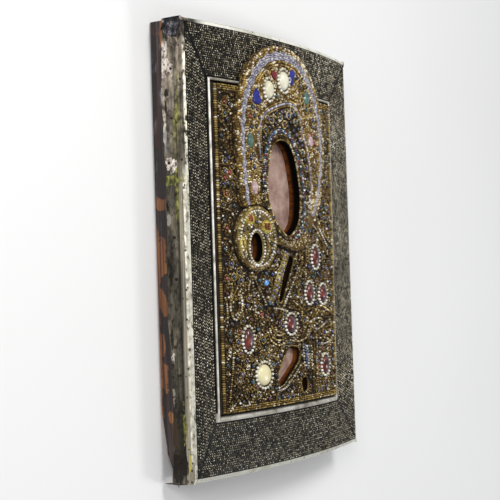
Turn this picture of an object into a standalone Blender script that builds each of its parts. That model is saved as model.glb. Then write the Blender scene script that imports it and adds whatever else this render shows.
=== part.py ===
"""Icon panel: a warped wooden board, sheet silver over its sides, four embossed silver border strips,
and a stuffed, beaded cover with two haloes, five windows and ten set stones. It lies on its back:
the back is at Z = 0, the front looks up along +Z, and the icon's top is at +Y."""

import math
import random

import bpy
from mathutils import Vector
from mathutils.geometry import delaunay_2d_cdt

MM = 0.001

# The board and its warp, in millimetres.
ICON_WIDTH = 226.0
ICON_HEIGHT = 312.0
EDGE_DEPTH = 27.1
WARP_RISE = 12.4
REST_FLAT = 1.6
BOARD_CHAMFER = 3.3
BACK_ROUNDING = 1.2
BREAK_START = 36.0
BREAK_WIDTH = 17.0
BREAK_DEPTH = 13.0
CLEARANCE = 0.3
STATION = 16.0
ROW_STATION = 48.0

# The silver sheet round the sides, which turns over the front edge in a narrow lip.
SHEET = 0.8
SILVER_DEPTH = 16.2
RAGGEDNESS = 1.1
LIP_WIDTH = 3.4
LIP_DROP = 3.4
TAB_SHEET = 0.6
TAB_LENGTH = 14.0
TAB_DEPTH = 15.4
TAB_STANDS_OUT = 1.2

# The embossed border strips and the half-round fillet inside them.
STRIP_SHEET = 1.0
STRIP_RELIEF = 0.5
LEFT_MARGIN = 21.6
RIGHT_MARGIN = 45.2
TOP_MARGIN = 38.6
BOTTOM_MARGIN = 38.4
RIGHT_LEAN = 0.015
FILLET_WIDTH = 2.8
BOTTOM_FILLET_WIDTH = 4.0
FILLET_HEIGHT = 2.0
COVER_TOP_GAP = 1.2
COVER_BOTTOM_GAP = 1.4

# The beaded cover's levels, measured from the front face of the silver.
ARK_DEPTH = 1.2
COVER_LEVEL = 2.2
COVER_RELIEF = 1.5
COVER_RIM = 1.8
HALO_LEVEL = 6.0
HALO_RELIEF = 1.2
CHILD_LEVEL = 5.6
CHILD_RELIEF = 0.8

# The set stones and the pearls round them.
STONE_HEIGHT = 3.8
PEARL_SIZE = 2.9
PEARL_HEIGHT = 2.3

# The cover's drawing was measured on a field this large; every place on it is a share of the field.
# The drawing ends a little below its lowest window.
DRAWN_WIDTH = 153.0
DRAWN_LEFT = -88.3
DRAWN_TOP = 113.4
SMALL_WINDOW_CORNERS = [(3.2, -95.5), (11.5, -94), (12.6, -103), (5.2, -106)]
WINDOW_TO_EDGE = 6.2
DRAWN_HEIGHT = DRAWN_TOP - min(y for _, y in SMALL_WINDOW_CORNERS) + WINDOW_TO_EDGE

random.seed(7)


def crown(x):
    """How far the warp lifts the board at x."""
    return WARP_RISE * (1 - (2 * x / ICON_WIDTH) ** 2)


def front(x):
    """The front face of the silver at x."""
    return EDGE_DEPTH + crown(x)


def back(x):
    """The wooden back at x, worn flat along the two long edges."""
    return max(0.0, crown(x) - REST_FLAT)


# The field that the fillets leave open.
FIELD_LEFT = -ICON_WIDTH / 2 + LEFT_MARGIN + FILLET_WIDTH + CLEARANCE
FIELD_TOP = ICON_HEIGHT / 2 - TOP_MARGIN - FILLET_WIDTH - COVER_TOP_GAP
FIELD_BOTTOM = -ICON_HEIGHT / 2 + BOTTOM_MARGIN + BOTTOM_FILLET_WIDTH + COVER_BOTTOM_GAP
FILLET_TOP = ICON_HEIGHT / 2 - TOP_MARGIN
FILLET_BOTTOM = -ICON_HEIGHT / 2 + BOTTOM_MARGIN
FILLET_LEFT = -ICON_WIDTH / 2 + LEFT_MARGIN


def fillet_right(y):
    """The outer edge of the right fillet, which leans a little."""
    return ICON_WIDTH / 2 - RIGHT_MARGIN + RIGHT_LEAN * y


def field_right(y):
    return fillet_right(y) - FILLET_WIDTH - CLEARANCE


FIELD_WIDTH = field_right(0) - FIELD_LEFT
FIELD_HEIGHT = FIELD_TOP - FIELD_BOTTOM
ACROSS = FIELD_WIDTH / DRAWN_WIDTH
ALONG = FIELD_HEIGHT / DRAWN_HEIGHT


def place(x, y):
    """A place drawn on the measured field, carried over to this field."""
    return (FIELD_LEFT + (x - DRAWN_LEFT) * ACROSS, FIELD_TOP + (y - DRAWN_TOP) * ALONG)


def placed(points):
    return [place(x, y) for x, y in points]


# Colours, roughness and metallic values.
FINISHES = {
    "old_wood": ((0.022, 0.012, 0.009), 0.65, 0.0),
    "side_silver": ((0.16, 0.145, 0.115), 0.38, 0.9),
    "dark_silver": ((0.035, 0.034, 0.032), 0.42, 0.85),
    "bright_silver": ((0.62, 0.58, 0.50), 0.3, 0.95),
    "gold_thread": ((0.19, 0.125, 0.035), 0.45, 0.6),
    "halo_gold": ((0.34, 0.25, 0.08), 0.45, 0.5),
    "child_gold": ((0.48, 0.38, 0.07), 0.5, 0.3),
    "pearl": ((0.80, 0.76, 0.66), 0.3, 0.0),
    "red_stone": ((0.22, 0.03, 0.03), 0.12, 0.0),
    "white_stone": ((0.78, 0.74, 0.58), 0.2, 0.0),
    "blue_stone": ((0.10, 0.34, 0.72), 0.15, 0.0),
}


def finish(name):
    """The material of this name, made once."""
    if name in bpy.data.materials:
        return bpy.data.materials[name]
    colour, roughness, metallic = FINISHES[name]
    material = bpy.data.materials.new(name)
    material.use_nodes = True
    shader = material.node_tree.nodes["Principled BSDF"]
    shader.inputs["Base Color"].default_value = (*colour, 1)
    shader.inputs["Roughness"].default_value = roughness
    shader.inputs["Metallic"].default_value = metallic
    material.diffuse_color = (*colour, 1)
    return material


def facing_out(points, faces):
    """The faces turned so that the volume they enclose is positive."""
    volume = 0.0
    for face in faces:
        a = Vector(points[face[0]])
        for b, c in zip(face[1:], face[2:]):
            volume += a.dot(Vector(points[b]).cross(Vector(points[c])))
    if volume > 0:
        return faces
    return [tuple(reversed(face)) for face in faces]


def solid(name, finish_name, points, faces):
    """A named object from points in millimetres."""
    faces = facing_out(points, faces)
    mesh = bpy.data.meshes.new(name)
    mesh.from_pydata([(x * MM, y * MM, z * MM) for x, y, z in points], [], faces)
    mesh.materials.append(finish(finish_name))
    mesh.validate()
    mesh.shade_smooth()
    mesh.set_sharp_from_angle(angle=math.radians(50))
    piece = bpy.data.objects.new(name, mesh)
    bpy.context.scene.collection.objects.link(piece)
    piece.parent = icon
    return piece


def signed_area(loop):
    total = 0.0
    for (x0, y0), (x1, y1) in zip(loop, loop[1:] + loop[:1]):
        total += x0 * y1 - x1 * y0
    return total / 2


def turned(loop, anticlockwise):
    """The same loop, run the asked way round."""
    if (signed_area(loop) > 0) == anticlockwise:
        return list(loop)
    return list(reversed(loop))


def inside(x, y, loop):
    found = False
    for (x0, y0), (x1, y1) in zip(loop, loop[1:] + loop[:1]):
        if (y0 > y) != (y1 > y) and x < (x1 - x0) * (y - y0) / (y1 - y0) + x0:
            found = not found
    return found


def distance(x, y, loop, closed=True):
    """How far a point is from a line of points."""
    best = 1e9
    ends = zip(loop, loop[1:] + loop[:1]) if closed else zip(loop, loop[1:])
    for (x0, y0), (x1, y1) in ends:
        dx, dy = x1 - x0, y1 - y0
        length = dx * dx + dy * dy or 1e-9
        share = min(1.0, max(0.0, ((x - x0) * dx + (y - y0) * dy) / length))
        best = min(best, math.hypot(x - x0 - share * dx, y - y0 - share * dy))
    return best


def curve(keys, step, closed=True):
    """Evenly spaced points on a smooth curve through the key points."""
    count = len(keys)
    fine = []
    spans = count if closed else count - 1
    for i in range(spans):
        if closed:
            p0, p1, p2, p3 = (keys[(i + k - 1) % count] for k in range(4))
        else:
            p0, p1, p2, p3 = (keys[min(max(i + k - 1, 0), count - 1)] for k in range(4))
        for j in range(12):
            t = j / 12
            fine.append(tuple(
                0.5 * (2 * b + (c - a) * t + (2 * a - 5 * b + 4 * c - d) * t * t + (3 * b - a - 3 * c + d) * t ** 3)
                for a, b, c, d in zip(p0, p1, p2, p3)
            ))
    fine.append(tuple(keys[0]) if closed else tuple(keys[-1]))
    return resampled(fine, step, closed)


def resampled(line, step, closed=False):
    """The same line with evenly spaced points; a closed one leaves out its last, repeated point."""
    lengths = [math.dist(a, b) for a, b in zip(line, line[1:])]
    total = sum(lengths)
    count = max(3 if closed else 1, round(total / step))
    points = []
    at, passed = 0, 0.0
    for i in range(count if closed else count + 1):
        want = total * i / count
        while at < len(lengths) - 1 and passed + lengths[at] < want:
            passed += lengths[at]
            at += 1
        share = min(1.0, (want - passed) / (lengths[at] or 1e-9))
        points.append(tuple(a + (b - a) * share for a, b in zip(line[at], line[at + 1])))
    return points


def oval(x, y, half_width, half_height, step):
    count = max(8, round(math.pi * (half_width + half_height) / step))
    return [
        (x + half_width * math.cos(2 * math.pi * i / count), y + half_height * math.sin(2 * math.pi * i / count))
        for i in range(count)
    ]


def offset(line, by, closed=False):
    """The line moved sideways, to its left for a positive distance."""
    moved = []
    count = len(line)
    for i, (x, y) in enumerate(line):
        before = line[(i - 1) % count] if closed or i else line[0]
        after = line[(i + 1) % count] if closed or i < count - 1 else line[-1]
        dx, dy = after[0] - before[0], after[1] - before[1]
        length = math.hypot(dx, dy) or 1e-9
        moved.append((x - dy / length * by, y + dx / length * by))
    return moved


def ridge(line, top, foot, half_width, dip=0.0, closed=False):
    """A cord or string of beads: its crest rises and dips from point to point."""
    points = [(x, y, top - (dip if i % 2 else 0.0)) for i, (x, y) in enumerate(line)]
    for side in (half_width, -half_width):
        points += [(x, y, foot) for x, y in offset(line, side, closed)]
    return points


def band(line, top, foot, half_width, closed=False):
    """A flat-topped band of cloth."""
    points = []
    for side, level in ((half_width - 0.5, top), (half_width + 0.3, foot)):
        for way in (side, -side):
            points += [(x, y, level) for x, y in offset(line, way, closed)]
    return points


def bead(x, y, radius, top, foot, sides=4):
    """A small stone: one high point inside a ring of low ones."""
    points = [(x, y, top)]
    for i in range(sides):
        angle = 2 * math.pi * i / sides
        points.append((x + radius * math.cos(angle), y + radius * math.sin(angle), foot))
    return points


def flower(x, y, spread, top, foot, petals=5):
    """Small stones in a ring round one more."""
    points = [(x, y, top)]
    for i in range(petals):
        angle = 2 * math.pi * (i + 0.3) / petals
        points.append((x + spread * math.cos(angle), y + spread * math.sin(angle), top))
        angle += math.pi / petals
        low = foot + 0.4 * (top - foot)
        points.append((x + spread * 0.7 * math.cos(angle), y + spread * 0.7 * math.sin(angle), low))
        points.append((x + spread * 1.55 * math.cos(angle), y + spread * 1.55 * math.sin(angle), foot))
    return points


class Thinner:
    """Keeps points from crowding: a point too near an earlier one is left out."""

    def __init__(self, spacing):
        self.spacing = spacing
        self.cells = {}

    def accept(self, x, y):
        column, row = math.floor(x / self.spacing), math.floor(y / self.spacing)
        for i in (-1, 0, 1):
            for j in (-1, 0, 1):
                for other in self.cells.get((column + i, row + j), ()):
                    if math.dist(other, (x, y)) < self.spacing:
                        return False
        self.cells.setdefault((column, row), []).append((x, y))
        return True


def turn_of(a, b, c):
    return (b[0] - a[0]) * (c[1] - a[1]) - (b[1] - a[1]) * (c[0] - a[0])


def cross(a, b, c, d):
    """Whether the lines a-b and c-d cross between their ends."""
    return turn_of(a, b, c) * turn_of(a, b, d) < 0 and turn_of(c, d, a) * turn_of(c, d, b) < 0


def uncrossed(creases, points, loops):
    """The creases that can be edges of one surface: where two cross, the later one passes under the other."""
    walls = [pair for loop in loops for pair in zip(loop, loop[1:] + loop[:1])]
    kept = []
    for a, b in creases:
        start, end = points[a][:2], points[b][:2]
        others = walls + [(points[c][:2], points[d][:2]) for c, d in kept]
        near = [pair for pair in others if math.dist(pair[0], start) < 3 * STATION]
        if not any(cross(start, end, *pair) for pair in near):
            kept.append((a, b))
    return kept


def triangles(loops, points, creases=()):
    """The triangles between the loops, as indices into the loops' points and then the other points.
    A crease is a pair of the other points that stays an edge."""
    coords = []
    edges = []
    for loop in loops:
        first = len(coords)
        coords += [Vector(p) for p in loop]
        edges += [(first + i, first + (i + 1) % len(loop)) for i in range(len(loop))]
    first = len(coords)
    coords += [Vector(p[:2]) for p in points]
    kept_edges = edges + [(first + a, first + b) for a, b in uncrossed(creases, points, loops)]
    made = delaunay_2d_cdt(coords, kept_edges, [], 0, 1e-5)
    source = [min(ids) for ids in made[3]]
    walls = {frozenset(edge) for edge in edges}
    found = []
    beside = {}
    for face in made[2]:
        a, b, c = (source[i] for i in face)
        turn = (coords[b] - coords[a]).cross(coords[c] - coords[a])
        found.append((turn / 2, (a, b, c)) if turn > 0 else (-turn / 2, (a, c, b)))
        for edge in ((a, b), (b, c), (c, a)):
            beside.setdefault(frozenset(edge), []).append(len(found) - 1)
    # Triangles that no wall divides are one region, which is kept or dropped by its largest triangle.
    region = [None] * len(found)
    kept = []
    for first in range(len(found)):
        if region[first] is not None:
            continue
        region[first] = first
        members = [first]
        outer = False
        for at in members:
            a, b, c = found[at][1]
            for edge in ((a, b), (b, c), (c, a)):
                if frozenset(edge) in walls:
                    continue
                outer = outer or len(beside[frozenset(edge)]) == 1
                for other in beside[frozenset(edge)]:
                    if region[other] is None:
                        region[other] = first
                        members.append(other)
        a, b, c = max(found[at] for at in members)[1]
        x = (coords[a][0] + coords[b][0] + coords[c][0]) / 3
        y = (coords[a][1] + coords[b][1] + coords[c][1]) / 3
        if not outer and inside(x, y, loops[0]) and not any(inside(x, y, hole) for hole in loops[1:]):
            kept += [found[at][1] for at in members]
    return kept


def grid_points(loops, step, level, clear=3.0, row_step=None):
    """Points on a grid inside the loops; the rows may lie further apart than the columns."""
    xs = [x for x, _ in loops[0]]
    ys = [y for _, y in loops[0]]
    points = []
    x = math.ceil(min(xs) / step) * step
    while x < max(xs):
        rows = row_step or step
        y = math.ceil(min(ys) / rows) * rows
        while y < max(ys):
            if inside(x, y, loops[0]) and not any(inside(x, y, hole) for hole in loops[1:]):
                if min(distance(x, y, loop) for loop in loops) > clear:
                    points.append((x, y, level(x, y)))
            y += rows
        x += step
    return points


def plate(
    name,
    finish_name,
    loops,
    top_rim,
    bottom_rim,
    top_points=(),
    bottom_points=(),
    lines=(),
    under_lines=(),
    spacing=1.1,
    clear=0.9,
):
    """A closed solid between two relief surfaces. The first loop is its outline and the others are openings.
    The lines are edges of the upper surface and the under lines of the lower one. Heights are measured from
    the front face of the silver and follow the warp."""
    loops = [turned(loop, i == 0) for i, loop in enumerate(loops)]
    rim = [p for loop in loops for p in loop]

    def kept(points):
        thin = Thinner(spacing)
        for x, y in rim:
            thin.accept(x, y)
        chosen = []
        for x, y, z in points:
            if not inside(x, y, loops[0]) or any(inside(x, y, hole) for hole in loops[1:]):
                continue
            if min(distance(x, y, loop) for loop in loops) < clear:
                continue
            if thin.accept(x, y):
                chosen.append((x, y, z))
        return chosen

    def with_creases(drawn, points):
        found = kept([p for line in drawn for p in line] + points)
        order = {point: i for i, point in enumerate(found)}
        creases = []
        for line in drawn:
            for a, b in zip(line, line[1:]):
                if a in order and b in order and math.dist(a[:2], b[:2]) < 2 * STATION:
                    creases.append((order[a], order[b]))
        return found, creases

    level = [] if lines or top_points else grid_points(loops, STATION, top_rim, row_step=ROW_STATION)
    upper, creases = with_creases(lines, list(top_points) + level)
    level = grid_points(loops, STATION, bottom_rim, row_step=ROW_STATION)
    lower, under_creases = with_creases(under_lines, list(bottom_points) + level)
    points = [(x, y, front(x) + top_rim(x, y)) for x, y in rim] + [(x, y, front(x) + z) for x, y, z in upper]
    start = len(points)
    points += [(x, y, front(x) + bottom_rim(x, y)) for x, y in rim] + [(x, y, front(x) + z) for x, y, z in lower]
    faces = list(triangles(loops, upper, creases))
    faces += [(a + start, c + start, b + start) for a, b, c in triangles(loops, lower, under_creases)]
    first = 0
    for loop in loops:
        count = len(loop)
        for i in range(count):
            a, b = first + i, first + (i + 1) % count
            faces += [(a + start, b + start, b), (a + start, b, a)]
        first += count
    return solid(name, finish_name, points, faces)


def swept(name, finish_name, sections, closed=False):
    """A solid through sections that all have as many points."""
    size = len(sections[0])
    points = [p for section in sections for p in section]
    faces = []
    count = len(sections)
    for i in range(count if closed else count - 1):
        here, there = i * size, (i + 1) % count * size
        for j in range(size):
            k = (j + 1) % size
            faces.append((here + j, here + k, there + k, there + j))
    if not closed:
        faces.append(tuple(reversed(range(size))))
        faces.append(tuple((count - 1) * size + j for j in range(size)))
    return solid(name, finish_name, points, faces)


def stations(start, end, step):
    count = max(1, round(abs(end - start) / step))
    return [start + (end - start) * i / count for i in range(count + 1)]


# Everything hangs from one empty at the middle of the back.
for old in list(bpy.data.objects):
    bpy.data.objects.remove(old)
icon = bpy.data.objects.new("icon", None)
bpy.context.scene.collection.objects.link(icon)

# The wooden board. Its front edges are chamfered under the silver's lip, a shallow sunk panel holds the
# cover, and its lower left back corner has broken away.
BOARD_SIDE = ICON_WIDTH / 2 - SHEET - CLEARANCE
BOARD_END = ICON_HEIGHT / 2 - SHEET - CLEARANCE
BOARD_FACE = -STRIP_SHEET - CLEARANCE
ARK_FLOOR = BOARD_FACE - ARK_DEPTH


def rectangle(left, right, bottom, top, step=STATION):
    """Corner points and stations round a rectangle; the right side may lean."""
    lean = right if callable(right) else (lambda y: right)
    line = [(x, bottom) for x in stations(left, lean(bottom), step)[:-1]]
    line += [(lean(y), y) for y in stations(bottom, top, 1.5 * step)[:-1]]
    line += [(x, top) for x in stations(lean(top), left, step)[:-1]]
    line += [(left, y) for y in stations(top, bottom, 1.5 * step)[:-1]]
    return line


def broken(x, y):
    """How much wood is missing behind the lower left corner."""
    up = y + BOARD_END
    over = x + BOARD_SIDE
    if up > BREAK_START or over > BREAK_WIDTH:
        return 0.0
    fall = BREAK_DEPTH * (1 - up / BREAK_START) ** 1.3
    fall = max(fall, BREAK_DEPTH * 0.37 if up < BREAK_START * 0.75 else 0.0)
    return fall * (1 - over / BREAK_WIDTH)


def board_back(x, y):
    edge = min(BOARD_SIDE - abs(x), BOARD_END - abs(y))
    round_off = BACK_ROUNDING if edge < 0.5 else 0.0
    return back(x) + max(round_off, broken(x, y)) - front(x)


board_loop = []
for x, y in rectangle(-BOARD_SIDE, BOARD_SIDE, -BOARD_END, BOARD_END):
    board_loop.append((x, y))
    if x == -BOARD_SIDE and y < -BOARD_END + 2.2 * STATION + 8:
        board_loop += [(x, y - 5.5 * k) for k in range(1, 5) if y - 5.5 * k > -BOARD_END + 2]
board_tops = []
inner_side = BOARD_SIDE - BOARD_CHAMFER
inner_end = BOARD_END - BOARD_CHAMFER
board_lines = [[(x, y, BOARD_FACE) for x, y in rectangle(-inner_side, inner_side, -inner_end, inner_end)]]
ARK_EDGE = 1.0
for grow, level in ((ARK_EDGE, BOARD_FACE), (ARK_EDGE - 0.6, ARK_FLOOR)):
    board_lines.append([
        (x, y, level)
        for x, y in rectangle(
            FIELD_LEFT - grow, lambda y, g=grow: field_right(y) + g, FIELD_BOTTOM - grow, FIELD_TOP + grow
        )
    ])
board_lines = [line + line[:1] for line in board_lines]


def in_field(x, y, grow=0.0):
    return FIELD_LEFT - grow < x < field_right(y) + grow and FIELD_BOTTOM - grow < y < FIELD_TOP + grow


board_tops += [
    (x, y, ARK_FLOOR if in_field(x, y) else BOARD_FACE)
    for x, y, _ in grid_points([board_loop], STATION, lambda x, y: 0.0, row_step=ROW_STATION)
    if in_field(x, y, -2.0) or not in_field(x, y, 3.0)
]
BACK_INSET = 1.5
rest_line = ICON_WIDTH / 2 * math.sqrt(1 - REST_FLAT / WARP_RISE)
back_ring = rectangle(
    -BOARD_SIDE + BACK_INSET, BOARD_SIDE - BACK_INSET, -BOARD_END + BACK_INSET, BOARD_END - BACK_INSET
)
board_back_lines = [[(x, y, board_back(x, y)) for x, y in back_ring + back_ring[:1]]]
for x in (-rest_line, rest_line):
    far = BOARD_END - BACK_INSET - 3.0
    board_back_lines.append([(x, y, board_back(x, y)) for y in stations(-far, far, 1.5 * STATION)])
board_backs = []
for x in stations(-BOARD_SIDE + 3, -BOARD_SIDE + BREAK_WIDTH, 7.0):
    for y in stations(-BOARD_END + 3, -BOARD_END + BREAK_START, 6.5):
        board_backs.append((x + 1.5 * math.sin(y * 2.1), y + 1.5 * math.sin(x * 1.7), board_back(x, y)))
plate(
    "wood_board",
    "old_wood",
    [board_loop],
    lambda x, y: BOARD_FACE - BOARD_CHAMFER - 0.2,
    board_back,
    board_tops,
    board_backs,
    board_lines,
    board_back_lines,
    spacing=0.5,
)


# The side silver: sheet along each side, with a torn back edge, rolled over the front edge.
def torn(along, seed):
    """How far the sheet's back edge wanders."""
    wander = math.sin(along * 0.047 + seed) + 0.6 * math.sin(along * 0.173 + 2 * seed)
    notch = 2.6 * math.exp(-(((along - 38 + 40 * seed) / 9) ** 2))
    return RAGGEDNESS * wander - notch


def sheet_section(lip, drop_back, thickness=SHEET):
    """(inward, height) points of the sheet's section: inward from the icon's side, height from its front."""
    turn = 0.29 * lip
    return [
        (0.0, -drop_back),
        (thickness, -drop_back),
        (thickness, -LIP_DROP - 0.2),
        (turn + 0.55 * thickness, -0.3 * LIP_DROP - 0.75 * thickness),
        (lip, -thickness),
        (lip, 0.0),
        (turn, -0.3 * LIP_DROP),
        (0.0, -LIP_DROP),
    ]


def side_sheet(name, way, seed):
    """The silver on a long side. way is -1 on the left and 1 on the right."""
    end = ICON_HEIGHT / 2 - 0.1
    places = [end, end - 0.9, end - LIP_WIDTH - 0.2]
    places = [-p for p in places] + stations(-places[-1] + 9, places[-1] - 9, 19.0) + places[::-1]
    sections = []
    for y in places:
        to_end = ICON_HEIGHT / 2 - abs(y)
        lip = min(LIP_WIDTH, max(SHEET + 0.05, to_end - 0.25))
        section = []
        for inward, height in sheet_section(lip, SILVER_DEPTH - torn(y, seed)):
            x = way * (ICON_WIDTH / 2 - inward)
            section.append((x, y, front(x) + height))
        sections.append(section if way > 0 else section[::-1])
    swept(name, "side_silver", sections)


def end_sheet(name, way, seed):
    """The silver on a short side. way is 1 at the top and -1 at the bottom."""
    end = ICON_WIDTH / 2 - SHEET - 0.45
    places = [end, end - LIP_WIDTH + SHEET]
    places = [-p for p in places] + stations(-places[-1] + 7, places[-1] - 7, 17.0) + places[::-1]
    sections = []
    for x in places:
        to_end = ICON_WIDTH / 2 - abs(x)
        lip = min(LIP_WIDTH, max(SHEET + 0.05, to_end - 0.25))
        # One corner of each sheet has worked loose and stands out.
        loose = TAB_STANDS_OUT * max(0.0, 1 - (end - way * x) / 16.0)
        section = []
        for inward, height in sheet_section(lip, SILVER_DEPTH - 0.6 * torn(x, seed)):
            y = way * (ICON_HEIGHT / 2 - inward + loose * min(1.0, max(0.0, (-height - LIP_DROP) / 6.0)))
            section.append((x, y, front(x) + height))
        sections.append(section if way < 0 else section[::-1])
    swept(name, "side_silver", sections)


side_sheet("side_silver_left", -1, 0.0)
side_sheet("side_silver_right", 1, 1.7)
end_sheet("side_silver_top", 1, 2.6)
end_sheet("side_silver_bottom", -1, 4.1)


# The folded ends of the top sheet, turned down over both long sides.
def corner_tab(name, way, length, depth):
    outer = ICON_WIDTH / 2 + CLEARANCE + TAB_SHEET
    inner = ICON_WIDTH / 2 + CLEARANCE
    top = ICON_HEIGHT / 2
    face = EDGE_DEPTH - 0.6
    outline = [
        (top - 0.4, face),
        (top - length * 0.45, face - 0.3),
        (top - length, face - depth * 0.22),
        (top - length * 0.9, face - depth * 0.62),
        (top - length * 0.55, face - depth),
        (top - 0.6, face - depth * 0.85),
    ]
    sections = [[(way * x, y, z) for y, z in outline] for x in (inner, outer)]
    if way < 0:
        sections = sections[::-1]
    swept(name, "dark_silver", sections)


corner_tab("corner_tab_left", -1, TAB_LENGTH, TAB_DEPTH)
corner_tab("corner_tab_right", 1, TAB_LENGTH * 0.6, TAB_DEPTH * 0.8)

# The embossed strips meet in mitres. Their relief is a lattice of low bosses.
STRIP_OUT = LIP_WIDTH + CLEARANCE
strip_x = ICON_WIDTH / 2 - STRIP_OUT
strip_y = ICON_HEIGHT / 2 - STRIP_OUT
MITRE_GAP = 0.2
hole_left = FILLET_LEFT - CLEARANCE
hole_top = FILLET_TOP + CLEARANCE
hole_bottom = FILLET_BOTTOM - CLEARANCE
BOSS_PITCH = 13.0


def hole_right(y):
    return fillet_right(y) + CLEARANCE


def shrunk(corners, by):
    """A convex outline drawn in by a small distance on every side."""
    corners = turned(corners, True)
    count = len(corners)
    lines = []
    for i in range(count):
        (x0, y0), (x1, y1) = corners[i], corners[(i + 1) % count]
        length = math.dist((x0, y0), (x1, y1))
        nx, ny = -(y1 - y0) / length, (x1 - x0) / length
        lines.append((x0 + nx * by, y0 + ny * by, x1 - x0, y1 - y0))
    inner = []
    for i in range(count):
        x0, y0, dx0, dy0 = lines[i - 1]
        x1, y1, dx1, dy1 = lines[i]
        cross = dx0 * dy1 - dy0 * dx1
        t = ((x1 - x0) * dy1 - (y1 - y0) * dx1) / cross
        inner.append((x0 + dx0 * t, y0 + dy0 * t))
    return inner


def strip(name, corners):
    corners = shrunk(corners, MITRE_GAP)
    loop = []
    for a, b in zip(corners, corners[1:] + corners[:1]):
        loop += resampled([a, b], STATION)[:-1]
    xs = [x for x, _ in loop]
    ys = [y for _, y in loop]
    bosses = []
    tall = max(ys) - min(ys) > max(xs) - min(xs)
    across, along = (xs, ys) if tall else (ys, xs)
    rows = max(2, round((max(across) - min(across)) / BOSS_PITCH))
    for i, v in enumerate(stations(min(along) + 3, max(along) - 3, BOSS_PITCH)):
        for j in range(rows + 1):
            u = min(across) + (max(across) - min(across)) * (j + 0.5 * (i % 2)) / rows
            x, y = (u, v) if tall else (v, u)
            bosses.append((x, y, STRIP_RELIEF if (i + j) % 2 else -0.1))
    plate(name, "dark_silver", [loop], lambda x, y: 0.0, lambda x, y: -STRIP_SHEET, bosses, clear=2.0)


strip("border_left", [
    (-strip_x, -strip_y), (hole_left, hole_bottom), (hole_left, hole_top), (-strip_x, strip_y),
])
strip("border_right", [
    (strip_x, strip_y), (hole_right(hole_top), hole_top), (hole_right(hole_bottom), hole_bottom), (strip_x, -strip_y),
])
strip("border_top", [
    (-strip_x, strip_y), (hole_left, hole_top), (hole_right(hole_top), hole_top), (strip_x, strip_y),
])
strip("border_bottom", [
    (-strip_x, -strip_y), (strip_x, -strip_y), (hole_right(hole_bottom), hole_bottom), (hole_left, hole_bottom),
])


# The half-round fillets between the strips and the cover.
def half_round(name, start, end, width, side):
    """A half-round strip from start to end. side turns its width inwards from that line."""
    length = math.dist(start, end)
    dx, dy = (end[0] - start[0]) / length, (end[1] - start[1]) / length
    nx, ny = -dy * side, dx * side
    foot = -STRIP_SHEET
    sections = []
    for s in stations(0, length, STATION if abs(dx) > 0.5 else 2 * ROW_STATION):
        mitre = min(s, length - s)
        section = []
        for i in range(5):
            angle = math.pi * i / 4
            across = width * (1 - math.cos(angle)) / 2
            height = foot + (FILLET_HEIGHT - foot) * math.sin(angle)
            # The ends are cut at forty-five degrees.
            shift = across if mitre < 1e-6 else 0.0
            t = s + (shift if s < length / 2 else -shift)
            x, y = start[0] + dx * t + nx * across, start[1] + dy * t + ny * across
            section.append((x, y, front(x) + height))
        sections.append(section if side > 0 else section[::-1])
    swept(name, "bright_silver", sections)


CUT = 0.25
half_round(
    "fillet_left", (FILLET_LEFT, FILLET_BOTTOM + CUT), (FILLET_LEFT, FILLET_TOP - CUT), FILLET_WIDTH, -1
)
half_round(
    "fillet_right",
    (fillet_right(FILLET_BOTTOM), FILLET_BOTTOM + CUT),
    (fillet_right(FILLET_TOP), FILLET_TOP - CUT),
    FILLET_WIDTH,
    1,
)
half_round(
    "fillet_top", (FILLET_LEFT + CUT, FILLET_TOP), (fillet_right(FILLET_TOP) - CUT, FILLET_TOP), FILLET_WIDTH, -1
)
half_round(
    "fillet_bottom",
    (FILLET_LEFT + CUT, FILLET_BOTTOM),
    (fillet_right(FILLET_BOTTOM) - CUT, FILLET_BOTTOM),
    BOTTOM_FILLET_WIDTH,
    1,
)

# The windows in the cover.
FACE_WINDOW = curve(placed([
    (-24.2, 76.9), (-31.5, 70.5), (-35.3, 60), (-37.2, 50), (-37.4, 40), (-34.8, 29.9), (-29.1, 19.9),
    (-20.7, 12.9), (-15, 9.6), (-8.4, 11.3), (0.2, 19.7), (3.1, 32.6), (3.2, 42.6), (0.4, 57.6),
    (-3.3, 67.7), (-8, 74.7), (-15.6, 77.8),
]), 5.0)
CHILD_CENTRE = place(-49.7, 7.2)
CHILD_ACROSS = 22.2 * ACROSS
CHILD_ALONG = 22.6 * ALONG
CHILD_WINDOW_CENTRE = place(-51.6, 0.8)
CHILD_WINDOW_HALF_WIDTH = 6.6
CHILD_WINDOW_HALF_HEIGHT = 10.4
WINDOW_PEARLS_OUT = 1.9
WINDOW_ROW_OUT = 3.7


def child_window(grow, step):
    half_width = CHILD_WINDOW_HALF_WIDTH * ACROSS + grow
    half_height = CHILD_WINDOW_HALF_HEIGHT * ALONG + grow
    return oval(*CHILD_WINDOW_CENTRE, half_width, half_height, step)


CHILD_WINDOW = child_window(0.0, 3.4)


def cut_out(corners, rounding):
    """A straight-sided opening with its corners eased."""
    corners = placed(corners)
    line = []
    count = len(corners)
    for i in range(count):
        here, before, after = corners[i], corners[i - 1], corners[(i + 1) % count]
        for other in (before, after):
            share = min(0.45, rounding / math.dist(here, other))
            line.append(tuple(a + (b - a) * share for a, b in zip(here, other)))
    return resampled(line + line[:1], 5.0, True)


SLIT_WINDOW = cut_out([(-10.5, -3.4), (-1.8, -6.9), (-19.3, -37.7), (-24.1, -38.6)], 1.5)
HAND_WINDOW = cut_out([
    (-11.8, -70.4), (1.7, -72.5), (0.7, -81.4), (-21.5, -97.9), (-26.2, -97.9), (-27.2, -89), (-17.6, -77.3),
], 2.0)
SMALL_WINDOW = cut_out(SMALL_WINDOW_CORNERS, 2.0)

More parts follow.
